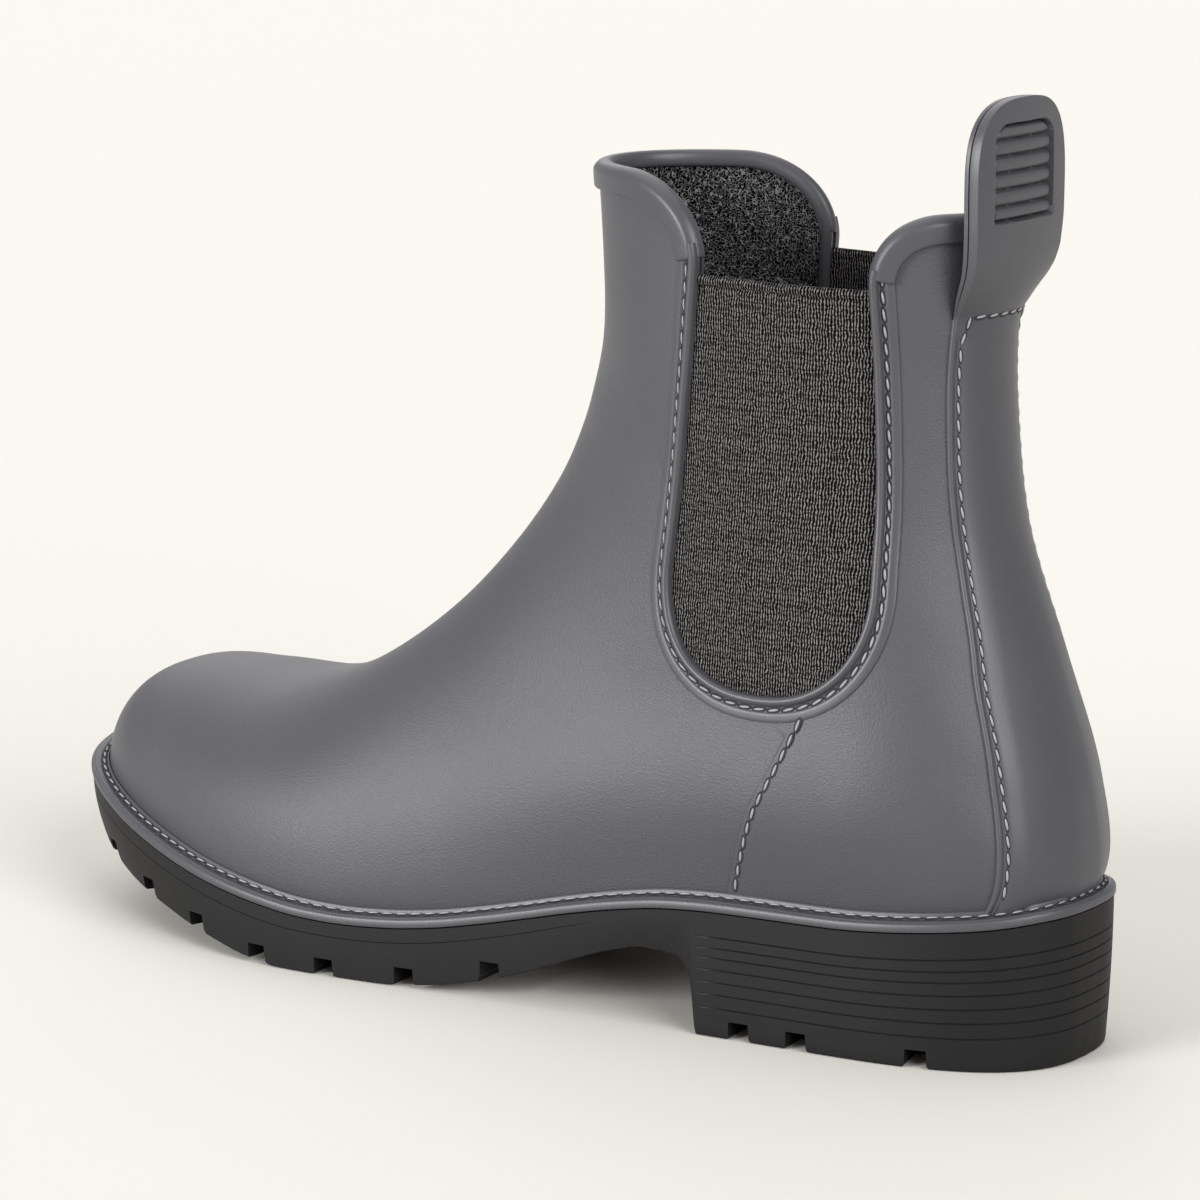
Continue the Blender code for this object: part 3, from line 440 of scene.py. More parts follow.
class Skin:
    """The upper's outer face with smooth normals, to lay other pieces on."""

    def __init__(self, rows, columns):
        section, angle = upper_face(rows, columns)
        self.grid = last(section, angle)
        top = len(LAST_ROWS) - 1
        ahead = last(np.minimum(section + 0.04, top), angle) - last(np.maximum(section - 0.04, 0), angle)
        over = last(section, angle + 0.03) - last(section, angle - 0.03)
        normal = np.cross(ahead, over)
        normal /= np.maximum(np.linalg.norm(normal, axis=2, keepdims=True), 1e-9)
        if ((self.grid - self.grid.mean(axis=1, keepdims=True)) * normal).sum() < 0:
            normal = -normal
        self.points = [Vector(p) for p in self.grid.reshape(-1, 3)]
        self.normals = [Vector(n) for n in normal.reshape(-1, 3)]
        starts = [i * columns + j for i in range(rows - 1) for j in range(columns - 1)]
        self.faces = [(k, k + columns, k + columns + 1, k + 1) for k in starts]
        self.tree = BVHTree.FromPolygons(self.points, self.faces)

    def at(self, point, face):
        """A point of a face with its blended normal."""
        corners = self.faces[face]
        weights = poly_3d_calc([self.points[c] for c in corners], point)
        normal = Vector((0, 0, 0))
        for corner, weight in zip(corners, weights):
            normal += self.normals[corner] * weight
        return point, normal.normalized()

    def nearest(self, point):
        found, _, face, _ = self.tree.find_nearest(Vector(point))
        return self.at(found, face)

    def meet(self, origin, direction):
        found, _, face, _ = self.tree.ray_cast(Vector(origin), Vector(direction))
        if found is None:
            raise RuntimeError(f"no upper along {tuple(origin)}")
        return self.at(found, face)

    def on_side(self, x, z, side):
        return self.meet((x, side * 200, z), (0, -side, 0))

    def on_back(self, y, z):
        return self.meet((-200, y, z), (1, 0, 0))

    def on_front(self, y, z):
        return self.meet((400, y, z), (-1, 0, 0))

    def lay(self, point, normal, direction, profile):
        """A profile laid on the face: distances run along it, heights along its normal."""
        direction = (direction - normal * direction.dot(normal)).normalized()
        placed = []
        for distance, height in profile:
            found, face = self.nearest(point + direction * max(distance, 0.0))
            placed.append(found + face * height + direction * min(distance, 0.0))
        return placed


SKIN = Skin(*SKIN_GRID)


def window_line(count):
    """Side view of the window's edge from the front top round the bottom to the rear top."""
    (fx, fz), (fx2, fz2) = WINDOW_FRONT
    (rx, rz), (rx2, rz2) = WINDOW_REAR
    share = np.linspace(0, 1, count)[:, None]
    front = np.array((fx, fz)) + (np.array((fx2, fz2)) - np.array((fx, fz))) * share[:-1]
    turn = np.linspace(0, math.pi, count + 4)
    c, s = np.cos(turn), np.sin(turn)
    middle, half = 0.5 * (fx2 + rx2), 0.5 * (fx2 - rx2)
    side_z = fz2 + (rz2 - fz2) * (1 - c) / 2
    round_x = middle + half * np.sign(c) * np.abs(c) ** (2 / WINDOW_POWER)
    round_z = side_z - (side_z - WINDOW_BOTTOM) * np.abs(s) ** (2 / WINDOW_POWER)
    rear = np.array((rx2, rz2)) + (np.array((rx, rz)) - np.array((rx2, rz2))) * share[1:]
    return np.concatenate([front, np.stack([round_x, round_z], -1), rear])


def flare(edge, size, way, count):
    """Side view of the collar as it rises from a window's edge."""
    turn = np.linspace(0, math.pi / 2, count)
    return np.stack([edge[0] + way * size[0] * (1 - np.cos(turn)), edge[1] + size[1] * np.sin(turn)], -1)


def into_window(line):
    """Unit directions in side view from a window's edge into the window."""
    tangent = np.gradient(line, axis=0)
    inward = np.stack([-tangent[:, 1], tangent[:, 0]], -1)
    inward /= np.linalg.norm(inward, axis=1, keepdims=True)
    middle = np.array((0.5 * (WINDOW_FRONT[1][0] + WINDOW_REAR[1][0]), 0.5 * (WINDOW_BOTTOM + GUSSET_TOP)))
    return inward * np.sign(((middle - line) * inward).sum(1))[:, None]


def window_edge(steps):
    """Even points along the window's edge and the foot of the collar's flare."""
    front = flare(WINDOW_FRONT[0], FLARE_FRONT, 1, 60)[1:10][::-1]
    rear = flare(WINDOW_REAR[0], FLARE_REAR, -1, 60)[1:10]
    return along(np.concatenate([front, window_line(60), rear]), np.linspace(0, 1, steps))


def open_region():
    """Side view of everything that is cut from the upper: both windows and the space over the collar."""
    front_top, rear_top = WINDOW_FRONT[0][1] + FLARE_FRONT[1], WINDOW_REAR[0][1] + FLARE_REAR[1]
    return np.concatenate([
        [(CUT_FRONT, CUT_TOP), (CUT_FRONT, front_top)],
        flare(WINDOW_FRONT[0], FLARE_FRONT, 1, 40)[::-1][:-1],
        window_line(40),
        flare(WINDOW_REAR[0], FLARE_REAR, -1, 40)[1:],
        [(CUT_REAR, rear_top), (CUT_REAR, CUT_TOP)]])


def signed_distance(points, polygon):
    """Distance of side-view points from a closed outline, negative inside."""
    best = np.full(len(points), np.inf)
    inside = np.zeros(len(points), bool)
    for a, b in zip(polygon, np.roll(polygon, -1, 0)):
        edge = b - a
        share = np.clip(((points - a) @ edge) / max(edge @ edge, 1e-9), 0, 1)
        best = np.minimum(best, np.linalg.norm(points - a - share[:, None] * edge, axis=1))
        spans = (a[1] > points[:, 1]) != (b[1] > points[:, 1])
        cross = a[0] + (points[:, 1] - a[1]) * edge[0] / (edge[1] if abs(edge[1]) > 1e-9 else 1e-9)
        inside ^= spans & (points[:, 0] < cross)
    return np.where(inside, -best, best)


def rails(sides, middle):
    """Matching points on both sides of an outline: even steps round its ends, the same x between them."""
    runs = []
    share = np.linspace(0, 1, CAP_STATIONS + 1)
    for side in sides:
        x, y = side.T
        between = np.stack([middle, np.interp(middle, x, y)], -1)
        heel = np.concatenate([side[x < END_CAPS[0]], between[:1]])
        toe = np.concatenate([between[-1:], side[x > END_CAPS[1]]])
        runs.append(np.concatenate([along(heel, share)[:-1], between, along(toe, share)[1:]]))
    return runs


def inward_of(rail, other):
    """Unit directions from one rail towards the inside of the outline."""
    ring = np.concatenate([rail, other[::-1][1:-1]])
    tangent = np.roll(ring, -1, 0) - np.roll(ring, 1, 0)
    inward = np.stack([tangent[:, 1], -tangent[:, 0]], -1)
    inward /= np.linalg.norm(inward, axis=1, keepdims=True)
    if ((ring - ring.mean(0)) * inward).sum() > 0:
        inward = -inward
    return inward[:len(rail)]


def loft(points, around=False, ends=False, weave=None):
    """A bmesh through a grid of points; around joins its side columns, ends caps its end rows."""
    points = np.asarray(points, float)
    if around:
        points = np.concatenate([points, points[:, :1]], 1)
    rows, columns = points.shape[:2]
    bm = bmesh.new()
    bmesh.ops.create_grid(bm, x_segments=columns - 1, y_segments=rows - 1, size=1.0)
    place = {}
    for vert in bm.verts:
        i, j = round((vert.co.y + 1) / 2 * (rows - 1)), round((vert.co.x + 1) / 2 * (columns - 1))
        place[vert] = (i, j)
        vert.co = (points[i, j] - CENTRE) * MM
    if weave is not None:
        layer = bm.loops.layers.uv.new("weave")
        for face in bm.faces:
            for corner in face.loops:
                corner[layer].uv = weave[place[corner.vert]]
    bmesh.ops.remove_doubles(bm, verts=bm.verts, dist=2e-6)
    bmesh.ops.dissolve_degenerate(bm, edges=bm.edges, dist=1e-7)
    if ends:
        bmesh.ops.holes_fill(bm, edges=[e for e in bm.edges if e.is_boundary], sides=0)
    bmesh.ops.recalc_face_normals(bm, faces=bm.faces)
    return bm


def along_ring(points):
    """A grid of rows that ends where it began."""
    return np.concatenate([points, points[:1]], 0)


def face_out(bm):
    """Turns an open shell so that its faces point away from its middle."""
    middle = sum((v.co for v in bm.verts), Vector()) / len(bm.verts)
    if sum(f.normal.dot(f.calc_center_median() - middle) for f in bm.faces) < 0:
        bmesh.ops.reverse_faces(bm, faces=bm.faces)


def side_view(bm):
    """The vertices of a bmesh and where they stand in side view."""
    verts = list(bm.verts)
    return verts, np.array([(v.co.x / MM + CENTRE[0], v.co.z / MM) for v in verts])


def score(bm, value, level):
    """Splits a bmesh along the line where a value given for each vertex passes a level."""
    for edge in list(bm.edges):
        a, b = edge.verts
        if (value[a] - level) * (value[b] - level) < 0:
            _, vert = bmesh.utils.edge_split(edge, a, (value[a] - level) / (value[a] - value[b]))
            value[vert] = level
    for face in list(bm.faces):
        cut = [v for v in face.verts if value[v] == level]
        if len(cut) == 2 and not any(set(e.verts) == set(cut) for e in face.edges):
            bmesh.utils.face_split(face, cut[0], cut[1])


def behind_seam(points):
    """Distance of side-view points behind the quarter seam, negative in front of it."""
    line = spline(QUARTER_SEAM, np.linspace(0, len(QUARTER_SEAM) - 1, 40))
    best = np.full(len(points), np.inf)
    way = np.ones(len(points))
    for a, b in zip(line[:-1], line[1:]):
        run = b - a
        share = np.clip(((points - a) @ run) / (run @ run), 0, 1)
        gap = np.linalg.norm(points - a - share[:, None] * run, axis=1)
        turn = run[0] * (points[:, 1] - a[1]) - run[1] * (points[:, 0] - a[0])
        way = np.where(gap < best, np.where(turn > 0, -1.0, 1.0), way)
        best = np.minimum(best, gap)
    return best * way


def joined(first, *others):
    """One bmesh from several."""
    for other in others:
        mesh = bpy.data.meshes.new("joined")
        other.to_mesh(mesh)
        other.free()
        first.from_mesh(mesh)
        bpy.data.meshes.remove(mesh)
    return first


def piece(name, bm, finishes, node=None, sharp=40.0):
    """Object at the origin that rides on the boot and stands for a node."""
    mesh = bpy.data.meshes.new(name)
    bm.to_mesh(mesh)
    bm.free()
    for name_of_finish in finishes:
        mesh.materials.append(finish(name_of_finish))
    mesh.shade_smooth()
    mesh.set_sharp_from_angle(angle=math.radians(sharp))
    item = bpy.data.objects.new(name, mesh)
    bpy.context.collection.objects.link(item)
    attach(item, BODY)
    if node:
        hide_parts(node)
    return item


def settle(item, sharp=40.0):
    """Makes an object's modifiers part of its mesh."""
    graph = bpy.context.evaluated_depsgraph_get()
    mesh = bpy.data.meshes.new_from_object(item.evaluated_get(graph))
    item.modifiers.clear()
    old, item.data = item.data, mesh
    bpy.data.meshes.remove(old)
    mesh.name = item.name
    mesh.shade_smooth()
    mesh.set_sharp_from_angle(angle=math.radians(sharp))


def sew(name, path):
    """Row of stitches along a path of (point, normal) pairs, each one on a dark oval of painted shade."""
    points = np.array([tuple(p) for p, _ in path])
    normals = np.array([tuple(n) for _, n in path])
    run = np.concatenate([[0], np.cumsum(np.linalg.norm(np.diff(points, axis=0), axis=1))])
    count = max(int(round(run[-1] / (mm("stitch") + mm("stitch_gap")))), 1)
    pitch = run[-1] / count
    stitch, thread = pitch - mm("stitch_gap"), mm("thread")

    def at(distance):
        return Vector([np.interp(distance, run, points[:, k]) for k in range(3)])

    bm = bmesh.new()
    for i in range(count):
        middle = (i + 0.5) * pitch
        normal = Vector([np.interp(middle, run, normals[:, k]) for k in range(3)]).normalized()
        tangent = (at(middle + 0.3 * pitch) - at(middle - 0.3 * pitch)).normalized()
        tangent = Matrix.Rotation(math.radians(STITCH_LEAN), 3, normal) @ tangent
        side = normal.cross(tangent).normalized()
        normal = tangent.cross(side)
        turn = (tangent, side, normal)
        bump(bm, at(middle) + normal * STITCH_LIFT, *turn, (stitch, thread, thread * STITCH_ROUND), 0)
        # dark oval under the stitch: painted shade round the thread
        bump(bm, at(middle), *turn, (pitch * STITCH_SHADE[0], thread * STITCH_SHADE[1], STITCH_SHADE[2]), 1)
    return piece(name, bm, ("thread", "stitch bed"))


def bump(bm, point, tangent, side, normal, size, material):
    """A small oval mound lying along a seam."""
    turn = Matrix((side, normal, tangent)).transposed().to_4x4()
    shape = Matrix.Diagonal((size[1], size[2], size[0], 1.0))
    place = Matrix.Translation((Vector(point) - Vector(CENTRE)) * MM)
    made = bmesh.ops.create_uvsphere(bm, u_segments=8, v_segments=6, radius=0.5,
                                     matrix=place @ turn @ Matrix.Scale(MM, 4) @ shape)
    for face in {f for v in made["verts"] for f in v.link_faces}:
        face.material_index = material


class Value:
    """A shader socket that takes part in Python arithmetic."""

    def __init__(self, owner, socket):
        self.owner, self.socket = owner, socket

    def math(self, operation, first, second=0.0):
        return self.owner.node("ShaderNodeMath", {"operation": operation}, {0: first, 1: second})

    def __add__(self, other):
        return self.math('ADD', self, other)

    __radd__ = __add__

    def __sub__(self, other):
        return self.math('SUBTRACT', self, other)

    def __rsub__(self, other):
        return self.math('SUBTRACT', other, self)

    def __mul__(self, other):
        return self.math('MULTIPLY', self, other)

    __rmul__ = __mul__

    def wave(self):
        """Sine between 0 and 1."""
        return self.math('SINE', self) * 0.5 + 0.5

    def line(self, half):
        """1 where a noise passes its middle, 0 away from it: thin curling lines."""
        return 1.0 - self.math('ABSOLUTE', self - 0.5).ramp(half * 0.4, half * 1.4)

    def ramp(self, low, high):
        """0 below low and 1 above high, with a soft way between."""
        return self.owner.node("ShaderNodeMapRange", {"interpolation_type": 'SMOOTHSTEP'},
                               {"Value": self, "From Min": low, "From Max": high})


class Finish:
    """A material under construction, with one Principled shader."""

    def __init__(self, name):
        self.material = bpy.data.materials.new(name)
        self.material.use_nodes = True
        self.tree = self.material.node_tree
        self.shader = self.tree.nodes["Principled BSDF"]

    def node(self, kind, settings=None, inputs=None, output=0):
        """One output of a new node, with its settings and inputs given by name or place."""
        made = self.tree.nodes.new(kind)
        for key, value in (settings or {}).items():
            setattr(made, key, value)
        for key, value in (inputs or {}).items():
            self.give(made.inputs[key], value)
        return Value(self, made.outputs[output])

    def give(self, socket, value):
        if isinstance(value, Value):
            self.tree.links.new(value.socket, socket)
        else:
            socket.default_value = value

    def set(self, **inputs):
        """Gives inputs of the shader, by their names in small letters."""
        for key, value in inputs.items():
            self.give(self.shader.inputs[key.replace("_", " ").title().replace("Ior", "IOR")], value)

    def place(self):
        return self.node("ShaderNodeTexCoord", output="Object")

    def noise(self, vector, size, detail=2.0, rough=0.5):
        """Noise between 0 and 1 with lumps of a size in metres."""
        return self.node("ShaderNodeTexNoise", None, {"Vector": vector, "Scale": 1.0 / size,
                                                      "Detail": detail, "Roughness": rough}, "Fac")

    def mix(self, share, low, high):
        """A colour between two, by a share."""
        ends = {0: share, 6: (*low, 1.0), 7: (*high, 1.0)}
        return self.node("ShaderNodeMix", {"data_type": 'RGBA'}, ends, 2)

    def relief(self, height, depth):
        """A normal that follows a height between 0 and 1, with its depth in metres."""
        return self.node("ShaderNodeBump", None, {"Height": height, "Distance": depth}, "Normal")


def shade(value, factor):
    """A colour made lighter or darker."""
    return tuple(min(channel * factor, 1.0) for channel in value)


def colours():
    return bpy.context.scene.boot_colours


def moulded_rubber(name, base, roughness, depth):
    """Satin rubber with a fine moulded grain and a faint cloudiness."""
    made = Finish(name)
    place = made.place()
    grain = made.noise(place, mm("grain") * MM, 3.0, 0.6)
    cloud = made.noise(place, 0.035, 2.0)
    made.set(base_color=made.mix(cloud * 0.5 + grain * 0.5, shade(base, 0.88), shade(base, 1.12)),
             roughness=roughness + (grain - 0.5) * 0.16 + (cloud - 0.5) * 0.06,
             specular_ior_level=0.38, normal=made.relief(grain, depth * MM))
    return made.material


def upper_rubber(name):
    return moulded_rubber(name, colours().upper, 0.42, 0.13)


def trim_rubber(name):
    return moulded_rubber(name, colours().trim, 0.40, 0.03)


def sole_rubber(name):
    """Matte black rubber with a dusty bloom."""
    made = Finish(name)
    place = made.place()
    fine = made.noise(place, 0.0006, 3.0, 0.6)
    bloom = made.noise(place, 0.02, 3.0)
    base = colours().sole
    made.set(base_color=made.mix(bloom * 0.6 + fine * 0.4, shade(base, 0.75), shade(base, 1.3)),
             roughness=0.55 + (fine - 0.5) * 0.2 + (bloom - 0.5) * 0.1, specular_ior_level=0.2,
             normal=made.relief(fine, 0.04 * MM))
    return made.material


def elastic_knit(name):
    """Dark elastic knit with pale loops drawn into uneven upright rows."""
    made = Finish(name)
    weave = made.node("ShaderNodeUVMap", {"uv_map": "weave"})
    across = made.node("ShaderNodeSeparateXYZ", None, {0: weave})
    up = Value(made, across.socket.node.outputs[1])
    pitch = mm("knit")
    turn = 2 * math.pi / pitch
    rows = (across * turn + made.noise(weave, pitch * 3.0, 1.0) * 9.0).wave()
    courses = (up * turn * 0.6 + made.noise(weave, pitch * 2.2, 1.0) * 13.5).wave()
    fibre = made.noise(weave, pitch * 0.5, 1.0)
    light = (rows * 0.72 + courses * 0.28 + (fibre - 0.5) * 0.45).ramp(0.53, 0.8)
    patch = made.noise(weave, 2.5, 2.0)
    base = colours()
    made.set(base_color=made.mix(light * (patch * 0.7 + 0.6), base.knit_low, base.knit_high), roughness=0.9,
             specular_ior_level=0.08, normal=made.relief(light, 0.22 * MM))
    return made.material


def lining_felt(name):
    """Dark crinkled felt with pale curls, the same in every direction."""
    made = Finish(name)
    place = made.place()
    size = mm("felt") * MM
    wide = made.noise(place, size * 1.7, 0.0).line(0.036)
    close = made.noise(place, size * 1.25, 0.0).line(0.03)
    light = wide.math('MAXIMUM', wide, close)
    patch = made.noise(place, 0.004, 2.0)
    base = colours()
    made.set(base_color=made.mix(light * (patch * 0.8 + 0.5), base.felt_low, base.felt_high),
             roughness=0.95, specular_ior_level=0.08, normal=made.relief(light, 0.22 * MM))
    return made.material


def sewing_thread(name):
    made = Finish(name)
    ply = made.noise(made.place(), 0.0004, 2.0)
    base = colours().thread
    made.set(base_color=made.mix(ply, shade(base, 0.8), shade(base, 1.2)), roughness=0.5,
             normal=made.relief(ply, 0.05 * MM))
    return made.material


# Material of the dark ovals under the stitches: painted shade round each stitch.
def painted_stitch_shade(name):
    made = Finish(name)
    deep = made.noise(made.place(), 0.001, 1.0)
    made.set(base_color=made.mix(deep, (0.006, 0.006, 0.007), (0.02, 0.02, 0.022)), roughness=0.9)
    return made.material


FINISHES = {"upper rubber": upper_rubber, "trim rubber": trim_rubber, "sole rubber": sole_rubber,
            "elastic knit": elastic_knit, "lining felt": lining_felt, "thread": sewing_thread,
            "stitch bed": painted_stitch_shade}


def finish(name):
    """A material of the boot, made when it is first asked for."""
    return bpy.data.materials.get(name) or FINISHES[name](name)


class BOOT_OT_upper(bpy.types.Operator):
    """Moulded upper with its windows, collar and lining"""
    bl_idname = "boot.upper"
    bl_label = "Upper"

    def execute(self, context):
        section, angle = upper_face(*UPPER_GRID)
        bm = loft(last(section, angle))
        face_out(bm)
        self.lap(bm)
        verts, points = side_view(bm)
        clear = dict(zip(verts, signed_distance(points, open_region())))
        score(bm, clear, 0.0)
        gone = [f for f in bm.faces if any(clear[v] < 0 for v in f.verts)]
        bmesh.ops.delete(bm, geom=gone, context='FACES')
        upper = piece("upper", bm, ("upper rubber", "lining felt"), "upper")
        wall = upper.modifiers.new("wall", 'SOLIDIFY')
        wall.thickness = context.scene.boot_sizes.wall
        wall.offset = -1.0
        wall.material_offset = 1
        settle(upper)
        for side, name in ((1, "outer"), (-1, "inner")):
            line = spline(QUARTER_SEAM, np.linspace(*LAP_STITCHES, 60))
            tangent = np.gradient(line, axis=0)
            tangent /= np.linalg.norm(tangent, axis=1, keepdims=True)
            line = line + np.stack([tangent[:, 1], -tangent[:, 0]], -1) * LAP_SEAM
            path = [SKIN.on_side(x, z, side) for x, z in line]
            sew(f"quarter_stitches_{name}", [(p + n * LAP[3][1], n) for p, n in path])
        return {'FINISHED'}

    def lap(self, bm):
        """Raises the rear panel where it laps over the front one."""
        verts, points = side_view(bm)
        behind = dict(zip(verts, np.where(points[:, 1] < LAP_TOP, behind_seam(points), np.nan)))
        for level in LAP_SCORES:
            score(bm, behind, level)
        bm.normal_update()
        distances, heights = np.array(LAP).T
        for vert, distance in behind.items():
            if distance > 0:
                rise = np.interp(distance, distances, heights) * step(*LAP_FADE, vert.co.z / MM)
                vert.co += vert.normal * float(rise) * MM


class BOOT_OT_gussets(bpy.types.Operator):
    """Elastic side panels with hemmed tops"""
    bl_idname = "boot.gussets"
    bl_label = "Gussets"

    def execute(self, context):
        line = window_line(60)
        line = line - GUSSET_TUCK * into_window(line)
        low = int(np.argmin(line[:, 1]))
        front, rear = line[:low + 1][::-1], line[low:]
        share = np.linspace(0, 1, GUSSET_GRID[0])
        heights = line[low, 1] + 0.02 + (GUSSET_TOP - line[low, 1]) * share ** 1.25
        heights = np.concatenate([heights[heights < GUSSET_TOP - HEM - 1.4],
                                  np.linspace(GUSSET_TOP - HEM - 1.2, GUSSET_TOP, HEM_ROWS)])
        for side, name in ((1, "outer"), (-1, "inner")):
            rings, weave = [], []
            for z in heights:
                ahead = np.interp(z, front[:, 1], front[:, 0])
                behind = np.interp(z, rear[:, 1], rear[:, 0])
                xs = np.linspace(behind, ahead, GUSSET_GRID[1])
                faces = [SKIN.on_side(x, z, side) for x in xs]
                hem = self.hem(GUSSET_TOP - z)
                outer = [p + n * (hem - GUSSET_DEPTH[0]) for p, n in faces]
                inner = [p - n * (GUSSET_DEPTH[1] + hem * 0.3) for p, n in faces]
                ring = np.array(outer + inner[::-1])
                ring[:, 2] += HEM_TILT * (ring[:, 0] - HEM_TILT_MIDDLE) * step(HEM_TILT_FROM, GUSSET_TOP, z)
                rings.append(ring)
                flat = [(x, z) for x in xs]
                weave.append(flat + flat[::-1] + flat[:1])
            bm = loft(rings, around=True, ends=True, weave=np.array(weave))
            piece(f"gusset_{name}", bm, ("elastic knit",), f"gusset_{name}")
        return {'FINISHED'}

    def hem(self, under):
        """Height of the hem over the elastic at a distance under its top edge."""
        groove = math.exp(-((under - HEM - 0.35) / 0.3) ** 2)
        fold = HEM_FOLD * step(HEM + 0.3, HEM - 0.4, under) - HEM_GROOVE * groove
        return fold - HEM_LIP * step(0.7, 0.0, under)


class BOOT_OT_gusset_trims(bpy.types.Operator):
    """Beaded bands and inner piping round the windows, with their stitches"""
    bl_idname = "boot.gusset_trims"
    bl_label = "Gusset trims"

    def execute(self, context):
        line = window_edge(260)
        away = -into_window(line)
        for side, name in ((1, "outer"), (-1, "inner")):
            path = [SKIN.on_side(x, z, side) for x, z in line]
            out = [Vector((dx, 0, dz)) for dx, dz in away]
            bands = [SKIN.lay(p, n, d, TRIM) for (p, n), d in zip(path, out)]
            piping = [SKIN.lay(p, n, d, PIPING) for (p, n), d in zip(path, out)]
            bm = joined(loft(bands, around=True, ends=True), loft(piping, around=True, ends=True))
            piece(f"gusset_trim_{name}", bm, ("trim rubber",), f"gusset_trim_{name}")
            seam = [(SKIN.lay(p, n, d, [TRIM_SEAM])[0], n) for (p, n), d in zip(path, out)]
            sew(f"gusset_stitches_{name}", seam)
        return {'FINISHED'}


class BOOT_OT_bindings(bpy.types.Operator):
    """Rolled bindings over the front and back of the collar"""
    bl_idname = "boot.bindings"
    bl_label = "Collar bindings"

    def execute(self, context):
        self.bind("collar_binding_front", WINDOW_FRONT[0], FLARE_FRONT, 1, SKIN.on_front)
        self.bind("collar_binding_back", WINDOW_REAR[0], FLARE_REAR, -1, SKIN.on_back)
        return {'FINISHED'}

    def bind(self, name, edge, size, way, across):
        top = edge[1] + size[1]
        rise = flare(edge, size, way, 60)
        rise = rise[(rise[:, 1] > edge[1] + BINDING_START) & (rise[:, 1] < top - 0.05)]
        corner = SKIN.on_side(edge[0] + way * size[0], top, 1)[0].y
        line = [SKIN.on_side(x, z, 1)[0] for x, z in rise]
        line += [across(y, top)[0] for y in np.linspace(corner, -corner, 80)[1:-1]]
        line += [SKIN.on_side(x, z, -1)[0] for x, z in rise[::-1]]
        line = along(np.array([tuple(p) for p in line]), np.linspace(0, 1, BINDING_STATIONS))
        for _ in range(BINDING_PASSES):
            line[1:-1] = 0.25 * line[:-2] + 0.5 * line[1:-1] + 0.25 * line[2:]
        run = np.gradient(line, axis=0)
        rings = []
        for point, tangent in zip(line, run):
            point, normal = SKIN.nearest(point)
            down = Vector(tangent).cross(normal)
            if down.dot(Vector((0.4 * way, 0, -1))) < 0:
                down = -down
            rings.append(np.array(SKIN.lay(point, normal, down, BINDING)))
        rings = rounded_ends(rings, run)
        bm = loft(rings, around=True, ends=True)
        piece(name, bm, ("trim rubber",), name, 55.0)


def rounded_ends(rings, run, reach=0.5, steps=4):
    """Adds shrinking rings before the first and after the last, so that a swept band has soft ends."""
    turn = np.linspace(0, math.pi / 2, steps + 1)[1:]
    made = list(rings)
    for ring, tangent, first in ((rings[0], -run[0], True), (rings[-1], run[-1], False)):
        middle = ring.mean(0)
        size = np.linalg.norm(ring - middle, axis=1).mean()
        tangent = tangent / np.linalg.norm(tangent)
        for a in turn:
            shrink = 1 - reach / size * (1 - math.cos(a))
            shrunk = middle + (ring - middle) * shrink + tangent * reach * math.sin(a)
            made = [shrunk] + made if first else made + [shrunk]
    return made


class BOOT_OT_back_strip(bpy.types.Operator):
    """Strip up the back seam with beaded edges and its stitches"""
    bl_idname = "boot.back_strip"
    bl_label = "Back strip"

    def execute(self, context):
        rings, seams = [], ([], [])
        for z in np.linspace(*STRIP_RANGE, STRIP_STATIONS):
            wide = float(smooth(STRIP_HALF, z))
            ring, under = [], []
            for side in (1, -1):
                half = wide if side > 0 else wide - STRIP_TURN
                _, normal = SKIN.on_back(side * half, z)
                lean = abs(normal.x)
                run = [(side * (half - d * lean), h) for d, h in STRIP_EDGE]
                ring.append([p + n * h for (p, n), h in ((SKIN.on_back(y, z), h) for y, h in run)])
                under += [SKIN.on_back(side * half * s, z) for s in (1.0, 0.5)]
                y = side * (half - STRIP_SEAM[0] * lean)
                point, normal = SKIN.on_back(y, z)
                under_tab = z > TAB_ROWS[0][0]
                point = Vector(tab_point(y, z, 0.0)) if under_tab else point + normal * STRIP_SEAM[1]
                seams[side < 0].append((point, normal))
            middle = [SKIN.on_back(y, z) for y in np.linspace(5, -5, 7)]
            middle = [p + n * STRIP_EDGE[-1][1] for p, n in middle]
            below = [p - n * STRIP_UNDER for p, n in (under[2], under[3], under[1], under[0])]
            rings.append(ring[0] + middle + ring[1][::-1] + below)
        bm = loft(rings, around=True, ends=True)
        piece("back_strip", bm, ("trim rubber",), "back_strip", 50.0)
        half = float(smooth(STRIP_HALF, TAB_SEAM)) - STRIP_SEAM[0]
        over = []
        for y in np.linspace(half, -half, 30):
            over.append((Vector(tab_point(y, TAB_SEAM, 0.0)), SKIN.on_back(y, TAB_SEAM)[1]))
        sew("back_stitches", seams[0][3:] + over + seams[1][:2:-1])
        return {'FINISHED'}


def tab_size(name, z):
    """A size of the tab at a height."""
    k = TAB_COLUMNS.index(name)
    return float(smooth([(row[0], row[k]) for row in TAB_ROWS], z))


def tab_point(y, z, share):
    """Point of the tab at a share of its sheet, from its rear face to its front face."""
    rear, sheet, flat = (tab_size(name, z) for name in ("rear_x", "sheet", "flat"))
    on, normal = SKIN.on_back(y, min(z, TAB_HANG))
    front = (1 - flat) * (on.x + normal.x * TAB_CLEAR) + flat * (rear + TAB_CURL * y * y + sheet)
    return np.array((front - sheet * (1 - share), y, z))


